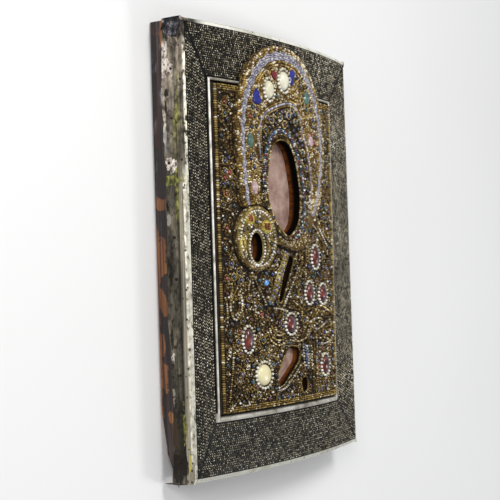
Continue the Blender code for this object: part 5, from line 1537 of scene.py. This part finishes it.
# Silk couched with gilt thread: ochre and soft, with bright threads 0.3 mm apart across it.
gold_silk, tree, shader, place = start_material("gold_silk_ground", Roughness=0.6, Metallic=0.2)
weave = add(
    tree, "ShaderNodeTexWave", {"Vector": place, "Scale": 1100.0, "Distortion": 5.0, "Detail": 2},
    wave_type="BANDS", bands_direction="DIAGONAL",
)
cloudy = add(tree, "ShaderNodeTexNoise", {"Vector": place, "Scale": 150.0, "Detail": 4})
dyed = add(tree, "ShaderNodeValToRGB", {0: cloudy}, [(0.3, "#4d3a1a"), (0.5, "#7d6532"), (0.7, "#a58a4e")])
# Inside the inner row, over the veil, the ground is dark brown.
from_middle = add(
    tree, "ShaderNodeMapping", {"Vector": place, "Location": (0.38, -1.08, 0), "Scale": (29.4, 19.6, 0)}
)
veil_far = add(tree, "ShaderNodeVectorMath", {0: from_middle}, operation="LENGTH")
dyed = laid_over(tree, dyed, "#20170d", (veil_far.outputs["Value"], 1.02, 0.96))
threads = add(tree, "ShaderNodeValToRGB", {0: weave}, [(0.2, "#6a4a1c"), (0.8, "#f2d797")])
dyed = add(tree, "ShaderNodeMix", {0: 0.5, 6: dyed, 7: threads}, data_type="RGBA", blend_type="MULTIPLY")
bump = add(tree, "ShaderNodeBump", {"Strength": 0.6, "Distance": 0.0005, "Height": weave})
connect(tree, shader, {"Base Color": dyed, "Normal": bump})

SCALLOP_PITCH = 11.0
SCALLOP_STEPS = 9
arc = HALO_ARC
start_angle = math.atan2(arc[0][1] - CHILD_CENTRE[1], arc[0][0] - CHILD_CENTRE[0])
end_angle = math.atan2(HALO_FOOT[-1][1] - CHILD_CENTRE[1], HALO_FOOT[-1][0] - CHILD_CENTRE[0])
join = []
for i in range(1, 20):
    angle = end_angle + (start_angle - end_angle) * i / 20
    join.append((
        CHILD_CENTRE[0] + (CHILD_HALF[0] + 1.3) * math.cos(angle),
        CHILD_CENTRE[1] + (CHILD_HALF[1] + 1.3) * math.sin(angle),
    ))
scallops = scalloped(arc, SCALLOP_PITCH, 1.7, SCALLOP_STEPS)
halo_outline = scallops + HALO_FOOT[1:-1] + join
TOP_BORDER_WIDTH = 38.6
FILLET_TOP = ICON_HEIGHT / 2 - TOP_BORDER_WIDTH


def halo_top(x, y):
    return HALO_LEVEL - 0.2 + 0.2 * math.sin(x * 0.4) * math.sin(y * 0.37)


def halo_under(x, y):
    """The halo lies on the cover, and beyond it lower, on the top border."""
    return COVER_LEVEL + 0.1 if y < FILLET_TOP + 2.6 else 0.9


sewn_plate(
    "halo_ground", [halo_outline, FACE_WINDOW], halo_top, halo_under, 2.5, gold_silk,
    ["halo_large"],
)
strung(
    "halo_scallop_beads", [raised(offset(scallops, -0.8), HALO_LEVEL - 0.1)], gilt_halo, "halo_gold", 1.9,
    1.8, 2.3, 2.3,
)
strung(
    "halo_scallop_inner_row", [raised(offset(scallops, -2.7), HALO_LEVEL + 0.2)], gilt_halo, "halo_gold", 1.7,
    1.6, 1.8, 1.8,
)
lobes = [p for i, p in enumerate(offset(resampled(arc, SCALLOP_PITCH / 2), 0.1)) if i % 2]
grown(
    "halo_lobe_beads", lines_mesh("lobes", [[(x, y, HALO_LEVEL + 0.2)] for x, y in lobes]), SEED_BEADS,
    "halo_gold", length=2.0 * MM, width=2.0 * MM, height=2.0 * MM, wander=0.1, seed=4, material=pearl,
)
wall = [raised(offset(scallops, 0.1), z) for z in (HALO_LEVEL - 1.2, HALO_LEVEL - 2.5)]
wall += [raised(HALO_FOOT, z) for z in (HALO_LEVEL - 0.6, HALO_LEVEL - 2.0)]
strung("halo_edge_binding", wall, gilt_dull, "halo_gold", 1.2, 1.3, 1.3, 1.4)
# Lilac silk purl: a greyed violet with a silken gleam, every coil a little lighter or darker.
lilac, tree, shader, place = start_material("lilac_silk_purl", Roughness=0.5, Metallic=0.1)
lilac_tone = add(
    tree, "ShaderNodeValToRGB", {0: own_shade(tree)},
    [(0.0, "#6a6674"), (0.5, "#a39fab"), (0.85, "#c3bfc6"), (1.0, "#efecec")],
)
connect(tree, shader, {"Base Color": lilac_tone})


WIDENS_FROM = 78
WIDENS_OVER = 40


def inwards(at_sides, at_top):
    """The halo's arc moved inwards, more at its top than at its sides."""
    line = []
    for low, high in zip(offset(arc, -at_sides), offset(arc, -at_top)):
        share = min(1.0, max(0.0, (high[1] - WIDENS_FROM) / WIDENS_OVER))
        line.append((low[0] + (high[0] - low[0]) * share, low[1] + (high[1] - low[1]) * share))
    return line


def echoed(line, depth):
    """A line inside the halo's edge that repeats its scallops."""
    share = sum(map(math.dist, line, line[1:])) / sum(map(math.dist, arc, arc[1:]))
    return scalloped(line, SCALLOP_PITCH * share, depth, SCALLOP_STEPS)


lilac_rows = [
    raised(echoed(inwards(side, top), depth), HALO_LEVEL + 0.25)
    for side, top, depth in ((4.1, 4.4, 1.7), (4.9, 5.9, 1.6), (5.7, 7.4, 1.4), (6.3, 8.8, 1.3))
]
strung("lilac_band", lilac_rows, lilac, "halo_gold", 1.15, 1.1, 1.55, 1.4, wander=0.2)
gold_rows = [
    raised(echoed(inwards(7.9, 10.5), 1.1), HALO_LEVEL + 0.5), raised(inwards(9.4, 12.2), HALO_LEVEL + 0.3)
]
strung("halo_gilt_rows", gold_rows[:1], gilt_halo, "halo_gold", 1.95, 1.8, 2.0, 2.0, wander=0.12)
strung("halo_second_gilt_row", gold_rows[1:], gilt_halo, "halo_gold", 1.9, 1.8, 1.8, 1.8, wander=0.12)

INNER_ROW = curve([
    (-46.5, 62), (-47.6, 82.9), (-41, 95.5), (-28.4, 102.4), (-9.5, 107.4), (2.9, 105), (9.4, 94.4),
    (14.1, 82.3), (19.2, 72.2), (21.5, 57.2), (22.6, 44), (19, 30),
], 1.5, closed=False)
VEIL_ROW = curve([
    (-41.4, 44), (-41, 54), (-39, 64), (-35.2, 73.8), (-29, 81.2), (-21, 84), (-12, 83), (-5.6, 78.6),
    (-0.6, 71), (3.8, 61), (7, 49), (8.4, 37.6), (6.9, 25), (2.4, 15), (-4.5, 8),
], 1.5, closed=False)
strung(
    "inner_lilac_row", [raised(offset(INNER_ROW, -1.6), HALO_LEVEL + 0.4)], lilac, "halo_gold", 1.15, 1.1,
    2.0, 1.4, wander=0.15,
)
strung(
    "inner_gilt_rows",
    [raised(offset(INNER_ROW, 0.2), HALO_LEVEL + 0.5), raised(offset(INNER_ROW, -3.4), HALO_LEVEL + 0.5)],
    gilt_halo, "halo_gold", 1.5, 1.45, 1.6, 1.6,
)
rim_lines = [raised(offset(turned_loop(FACE_WINDOW, True), -0.7, True), HALO_LEVEL + 0.3)]
strung("window_rim_beads", rim_lines, gilt_halo, "halo_gold", 1.5, 1.35, 1.3, 1.5, closed=True)
ribs = [raised(offset(turned_loop(FACE_WINDOW, True), -2.6, True), HALO_LEVEL + 0.1)]
strung("window_gilt_ribs", ribs, gilt_dull, "halo_gold", 1.25, 0.95, 2.9, 1.3, closed=True)
# Drawn glass beads of mixed lots: teal and blue, some grey, a few red or white, all with a wet gleam.
teal_bead, tree, shader, place = start_material("mixed_glass_beads", Roughness=0.2, Coat_Weight=0.4)
mixed = add(
    tree, "ShaderNodeValToRGB", {0: own_shade(tree)},
    [
        (0.0, "#17343f"), (0.26, "#3c6c7e"), (0.46, "#26365f"), (0.60, "#7286a8"), (0.74, "#8d9aa3"),
        (0.84, "#7c2529"), (0.92, "#d8d2c4"),
    ],
)
mixed.color_ramp.interpolation = "CONSTANT"
connect(tree, shader, {"Base Color": mixed})
strung(
    "veil_teal_beads", [raised(VEIL_ROW, HALO_LEVEL + 0.7), raised(offset(VEIL_ROW, 1.7), HALO_LEVEL + 0.6)],
    teal_bead, "halo_gold", 1.55, 1.5, 1.5, 1.5, wander=0.1,
)
strung(
    "veil_outer_rows",
    [raised(offset(VEIL_ROW, 3.4), HALO_LEVEL + 0.5), raised(offset(VEIL_ROW, -1.7), HALO_LEVEL + 0.5)],
    gilt_dull, "halo_gold", 1.5, 1.4, 1.5, 1.5,
)
accents = resampled(offset(VEIL_ROW, 0.85), 4.4)
for tint, glass, phase in (("white", pearl, 0), ("red", scarlet_glass, 1)):
    grown(
        "veil_accents_" + tint,
        lines_mesh("accents_" + tint, [[(x, y, HALO_LEVEL + 1.2)] for x, y in accents[phase::2]]), SEED_BEADS,
        "halo_gold", length=1.7 * MM, width=1.7 * MM, height=1.6 * MM, wander=0.15, seed=6, material=glass,
    )

# The halo's stones: cut-down triangles of lapis, ovals of green and pink glass, and small dark ones.
HALO_STONES = {
    "teal": [
        (-52.5, 99), (-54.2, 85.2), (-23.5, 109.7), (17.2, 104), (24.5, 92), (-38, 84), (-20, 95), (0.5, 93),
        (9.5, 71), (15.5, 48), (12.5, 26),
    ],
    "navy": [
        (-56, 63), (-53, 57), (26.5, 97), (30.5, 84.5), (33, 76), (-9, 97), (13.5, 60), (8, 14), (-31, 92)
    ],
    "wine": [
        (-49, 85.6), (-47.6, 98.3), (22, 111), (27, 73), (26.5, 62), (31, 91.5), (6, 84), (-14.5, 90),
        (15, 37), (-27.7, 123.9),
    ],
    "black": [
        (-45.5, 92.2), (-50.8, 93), (4.5, 126.5), (9, 119.5), (12, 127), (18, 121), (24, 104), (30, 67),
        (29.5, 55), (-59, 68.5), (-57, 51), (-53.5, 65.5), (-43, 36), (-33, 22), (27.5, 48), (13, 114),
        (-36, 92), (-25.5, 97), (-4, 101.5),
    ],
    "scarlet": [(-55.8, 92.4), (28.6, 79.2), (23.5, 86)],
}
sewn_stones("halo_stones_", HALO_STONES, HALO_LEVEL + 0.6, (3.3, 3.0, 2.4), 0.12, 8)
halo_rings = [oval(x, y, 2.6, 2.6, 0.9) for places in HALO_STONES.values() for x, y in places]

# Lapis is opaque and deep blue with a low polish; the green, rose and garnet ones are glass paste, clearer
# and glossier.
lapis = glassy("lapis", "#161b66", "#2f3a9e", 0.25)
green_glass = glassy("sea_green_glass", "#2c493f", "#66897c", 0.15, coat=0.5)
pink_glass = glassy("rose_glass", "#a98990", "#dcc6c6", 0.2, coat=0.4)
garnet = glassy("garnet_paste", "#4c0c15", "#7d1a26", 0.2, coat=0.4)


def cut_stone(name, outline, level, rise, material):
    """A flat-topped stone with a bevelled edge, from its outline, which it gives back."""
    outline = turned_loop(outline, True)
    count = len(outline)
    points = []
    for inset, z in ((0.0, level - 0.4), (0.0, level + rise * 0.55), (0.55, level + rise)):
        points += [(x, y, front(x) + z) for x, y in offset(outline, inset, True)]
    faces = [tuple(reversed(range(count))), tuple(range(2 * count, 3 * count))]
    for row in range(2):
        for i in range(count):
            j = (i + 1) % count
            faces.append((row * count + i, row * count + j, (row + 1) * count + j, (row + 1) * count + i))
    made_piece(name, points, faces, material, 30)
    return outline


LARGE_STONES = [
    (
        "lapis_left",
        curve([(-52.5, 103.0), (-46.0, 101.5), (-44.0, 104), (-47.8, 112.5), (-50.5, 110.5)], 1.6), lapis,
        "blue_stone",
    ),
    (
        "lapis_right", curve([(-6.2, 122.5), (-3.6, 119.5), (0.2, 129.5), (-4.5, 130.5)], 1.6), lapis,
        "blue_stone",
    ),
    (
        "garnet_top", curve([(-31, 124.5), (-27.0, 127.5), (-23.8, 125), (-26.5, 120.8)], 1.6), garnet,
        "red_stone",
    ),
    ("green_left", oval(-57.0, 75.0, 2.6, 5.2, 1.5), green_glass, "blue_stone"),
    ("green_right", oval(17.2, 112.6, 3.6, 5.0, 1.5), green_glass, "blue_stone"),
    ("rose_left", oval(-53.6, 42.5, 2.6, 4.6, 1.5), pink_glass, "red_stone"),
    ("rose_right", oval(21.5, 80.5, 3.0, 4.0, 1.5), pink_glass, "red_stone"),
]
large_outlines = [
    cut_stone(name, line, HALO_LEVEL, 2.0, look) for name, line, look, slot in LARGE_STONES
]
halo_rings += [offset(line, -1.0, True) for line in large_outlines]
strung(
    "halo_stone_collars", [raised(ring, HALO_LEVEL + 0.6) for ring in halo_rings], gilt_halo, "halo_gold",
    1.3, 1.25, 1.25, 1.3, closed=True,
)

# Gilt scrolls on the halo's ground between the stones, and seed pearls.
band = 10.3 + 2.8 * np.clip((map_y - WIDENS_FROM) / WIDENS_OVER, 0, 1)
halo_blocked = ~inside(map_x, map_y, halo_loop) | (distance(map_x, map_y, arc, closed=False) < band)
halo_blocked |= distance(map_x, map_y, HALO_FOOT, closed=False) < 1.4
halo_blocked |= inside(map_x, map_y, FACE_WINDOW) | (distance(map_x, map_y, FACE_WINDOW) < 4.4)
halo_blocked |= inside(map_x, map_y, CHILD_EDGE) | (distance(map_x, map_y, CHILD_EDGE) < 2.0)
for line, reach in (
    (INNER_ROW, 1.2), (offset(INNER_ROW, -2.2), 2.4), (VEIL_ROW, 1.6), (offset(VEIL_ROW, 2.2), 2.0),
    (offset(VEIL_ROW, -1.7), 0.9),
):
    halo_blocked |= distance(map_x, map_y, line, closed=False) < reach
for line in large_outlines:
    halo_blocked |= inside(map_x, map_y, line) | (distance(map_x, map_y, line) < 1.7)
for places in HALO_STONES.values():
    for point in places:
        mark(halo_blocked, [point], 3.0)
for name, x, y, a, b, *_ in STONES[:2]:
    halo_blocked |= ((map_x - x) / (a + 3.2)) ** 2 + ((map_y - y) / (b + 3.2)) ** 2 < 1
veil = inside(map_x, map_y, turned_loop(INNER_ROW + [(19, 10), (-40, 10)], True))
veil_stones = {"black": [], "teal": [], "mauve": []}
tries = random.Random(65)
for _ in range(1500):
    x, y = tries.uniform(-48, 24), tries.uniform(5, 108)
    if veil[cell(x, y)] and is_free(halo_blocked, x, y, 1.3):
        veil_stones[tries.choice(["black", "black", "teal", "mauve"])].append((x, y))
        mark(halo_blocked, [(x, y)], 2.9)
sewn_stones("veil_stones_", veil_stones, HALO_LEVEL + 0.4, (3.3, 3.0, 2.4), 0.12, 15)
tries = random.Random(77)
halo_scrolls, halo_eyes = scrolled(
    halo_blocked, (-62, 0, 40, 140), tries, 4200, (2.6, 2.1, 1.7), gap=0.6, spread=1.25, steps=24, turns=1.4,
    taper=0.85, least=2,
)
bright_part = [line for line in halo_scrolls if not veil[cell(*line[0])]]
dark_part = [line for line in halo_scrolls if veil[cell(*line[0])]]
strung(
    "halo_scrolls", [raised(line, HALO_LEVEL + 0.2) for line in bright_part], gilt_halo, "halo_gold", 1.0,
    1.15, 1.2, 1.3, wander=0.12,
)
strung(
    "veil_scrolls", [raised(line, HALO_LEVEL + 0.2) for line in dark_part], gilt_dull, "halo_gold", 1.0, 1.15,
    1.2, 1.3, wander=0.12,
)
single = [
    (x, y, HALO_LEVEL + 0.9)
    for x, y in halo_eyes if tries.random() < (0.08 if veil[cell(x, y)] else 0.28)
]
grown(
    "halo_seed_pearls", lines_mesh("halo_eyes", [[p] for p in single]), SEED_BEADS, "pearl", length=1.5 * MM,
    width=1.5 * MM, height=1.4 * MM, wander=0.2, seed=10, material=pearl,
)
for line in halo_scrolls:
    mark(halo_blocked, line, 0.75)
filled("halo_filling_beads", halo_blocked, (-62, 0, 38, 140), HALO_LEVEL + 0.15, 9000, 52)


# The small halo: a stuffed disc of yellow silk with a string of pearls at its edge and another round its
# window. Short red strokes are sewn in rows on three yellow patches.
# Brown-gold silk, couched in rings: matt, with threads 0.3 mm apart round its middle.
disc_silk, tree, shader, place = start_material("brown_gold_silk_disc", Roughness=0.6)
weave = add(
    tree, "ShaderNodeTexWave", {"Vector": place, "Scale": 1000.0, "Distortion": 4.0, "Detail": 2},
    wave_type="RINGS",
)
disc_tone = add(
    tree, "ShaderNodeValToRGB", {0: weave}, [(0.1, "#3a2f12"), (0.5, "#6b5a24"), (0.9, "#97823c")]
)
bump = add(tree, "ShaderNodeBump", {"Strength": 0.6, "Distance": 0.0004, "Height": weave})
connect(tree, shader, {"Base Color": disc_tone, "Normal": bump})
sewn_plate(
    "child_halo_ground", [CHILD_EDGE, CHILD_WINDOW], lambda x, y: CHILD_LEVEL, lambda x, y: COVER_LEVEL + 0.1,
    2.5, disc_silk, ["halo_child"],
)


def child_ring(inwards, level, step=1.0):
    half_width, half_height = CHILD_HALF
    return raised(oval(*CHILD_CENTRE, half_width - inwards, half_height - inwards, step), level)


def window_ring(out, level):
    half_width, half_height = CHILD_WINDOW_HALF
    return raised(oval(*CHILD_WINDOW_CENTRE, half_width + out, half_height + out, 1.0), level)


strung(
    "child_edge_ribs", [child_ring(1.3, CHILD_LEVEL)], gilt_yellow, "child_gold", 1.5, 1.3, 2.7, 2.0,
    closed=True,
)
strung(
    "child_edge_pearls", [child_ring(3.2, CHILD_LEVEL + 0.5)], pearl, "pearl", 2.5, 1.7, 1.7, 1.7,
    closed=True, wander=0.15,
)
walls = [child_ring(-0.1, CHILD_LEVEL - 1.1), child_ring(-0.1, CHILD_LEVEL - 2.3)]
strung("child_edge_binding", walls, gilt_dull, "child_gold", 1.2, 1.3, 1.3, 1.4, closed=True)
strung(
    "child_window_pearls", [window_ring(1.9, CHILD_LEVEL + 0.6)], pearl, "pearl", 2.35, 1.75, 1.75, 1.7,
    closed=True, wander=0.12,
)
strung(
    "child_window_ribs", [window_ring(3.7, CHILD_LEVEL + 0.3)], gilt_dull, "child_gold", 1.4, 1.2, 1.9, 1.5,
    closed=True,
)
STROKE_PLACES = [(-58.4, 21.2, 3), (-39.5, 15.5, 4), (-66.8, 3.3, 1)]
red_marks, patches = [], []
for x, y, count in STROKE_PLACES:
    for k in range(count):
        middle = x + 1.7 * (k - (count - 1) / 2)
        red_marks.append(
            [(middle - 0.4, y + 2.0, CHILD_LEVEL + 0.8), (middle + 0.4, y - 2.0, CHILD_LEVEL + 0.8)]
        )
    wide = 2.0 + 0.95 * count
    for share in (1.0, 0.72, 0.44, 0.2):
        patches.append(
            raised(oval(x, y, wide * share, 4.0 * share, 0.7), CHILD_LEVEL + 0.1 + 0.3 * (1 - share))
        )
# Yellow glass seed beads: lemon to straw, each a little different, with a low gleam.
yellow_bead, tree, shader, place = start_material("yellow_glass_beads", Roughness=0.35)
lemon = add(
    tree, "ShaderNodeValToRGB", {0: own_shade(tree)}, [(0.0, "#8f7d22"), (0.5, "#c7b43c"), (1.0, "#e8dc7e")]
)
connect(tree, shader, {"Base Color": lemon})
strung("yellow_patches", patches, yellow_bead, "child_gold", 1.1, 1.1, 1.2, 1.1, closed=True)
strung("red_strokes", red_marks, scarlet_glass, "child_gold", 0.8, 1.1, 1.15, 1.2)
child_stones = [
    (-50.0, 24.0), (-46.1, 21.0), (-34.8, 3.1), (-65, 12.5), (-37.5, -6.5), (-63.5, -7), (-66, -3.5),
    (-31.5, 8.5), (-35.0, -2.0), (-51.5, 18.5), (-60.5, 14.0), (-42.0, 8.5),
]
grown(
    "child_halo_stones", lines_mesh("child_stones", [[(x, y, CHILD_LEVEL + 0.5)] for x, y in child_stones]),
    SET_STONES, "blue_stone", length=2.9 * MM, width=2.6 * MM, height=2.1 * MM, wander=0.15, seed=12,
    material=black_glass,
)
child_blocked = ~inside(map_x, map_y, CHILD_EDGE) | (distance(map_x, map_y, CHILD_EDGE) < 4.6)
child_blocked |= inside(map_x, map_y, CHILD_WINDOW) | (distance(map_x, map_y, CHILD_WINDOW) < 5.2)
for x, y, count in STROKE_PLACES:
    child_blocked |= ((map_x - x) / (2.7 + 0.95 * count)) ** 2 + ((map_y - y) / 4.7) ** 2 < 1
for point in child_stones:
    mark(child_blocked, [point], 1.9)
beads = []
tries = random.Random(88)
for _ in range(1200):
    x, y = tries.uniform(-72, -27), tries.uniform(-16, 30)
    if not child_blocked[cell(x, y)]:
        beads.append([(x, y, CHILD_LEVEL + 0.3)])
        mark(child_blocked, [(x, y)], 1.5)
for tint, look, part in (("gilt", gilt_halo, beads[::2] + beads[1::4]), ("pearl", pearl, beads[3::4])):
    grown(
        "child_seed_beads_" + tint, lines_mesh("child_" + tint, part), SEED_BEADS, "child_gold",
        length=1.5 * MM, width=1.5 * MM, height=1.4 * MM, wander=0.2, seed=16, material=look,
    )


# The scarf and the cuff: a band of ochre beads with blue ones on it beside the slit, and rows of blue and
# white beads beside the low window. The ochre beads are worn gilt, the blue ones pale opaque glass.
ochre_bead = gilt("ochre_beads", "#6f5a24", "#a68f45", "#d5c284", metallic=0.35, roughness=0.45)
axis = [(-34.6, -38.6), (-12.4, -3.4)]
ochre_lines = [raised(offset(axis, d), COVER_LEVEL + 1.3) for d in (-2.6, -1.3, 0.0, 1.3, 2.6)]
strung("ochre_band", ochre_lines, ochre_bead, "gold_thread", 1.2, 1.3, 1.4, 1.5)
blue_bead = glassy("blue_seed_beads", "#2a3a68", "#7585b4", 0.2, scale=600.0, coat=0.4)
dots = [p for d in (-1.9, 1.6) for p in resampled(offset(axis, d), 4.6)]
CUFF_TOP = -71.0
CUFF_PITCH = 2.1
cuff = []
for k in range(8):
    y = CUFF_TOP - CUFF_PITCH * k
    cuff += [(9.6 + 0.25 * k, y), (12.2 + 0.25 * k, y - 0.8)]
grown(
    "blue_beads",
    lines_mesh(
        "blue_dots",
        [[(x, y, COVER_LEVEL + 2.0)] for x, y in dots] + [[(x, y, COVER_LEVEL + 1.0)] for x, y in cuff[::2]],
    ),
    SEED_BEADS, "blue_stone", length=1.7 * MM, width=1.7 * MM, height=1.6 * MM, wander=0.12, seed=13,
    material=blue_bead,
)
grown(
    "cuff_white_beads", lines_mesh("cuff_dots", [[(x, y, COVER_LEVEL + 1.0)] for x, y in cuff[1::2]]),
    SEED_BEADS, "pearl", length=1.8 * MM, width=1.8 * MM, height=1.7 * MM, wander=0.12, seed=14,
    material=pearl,
)
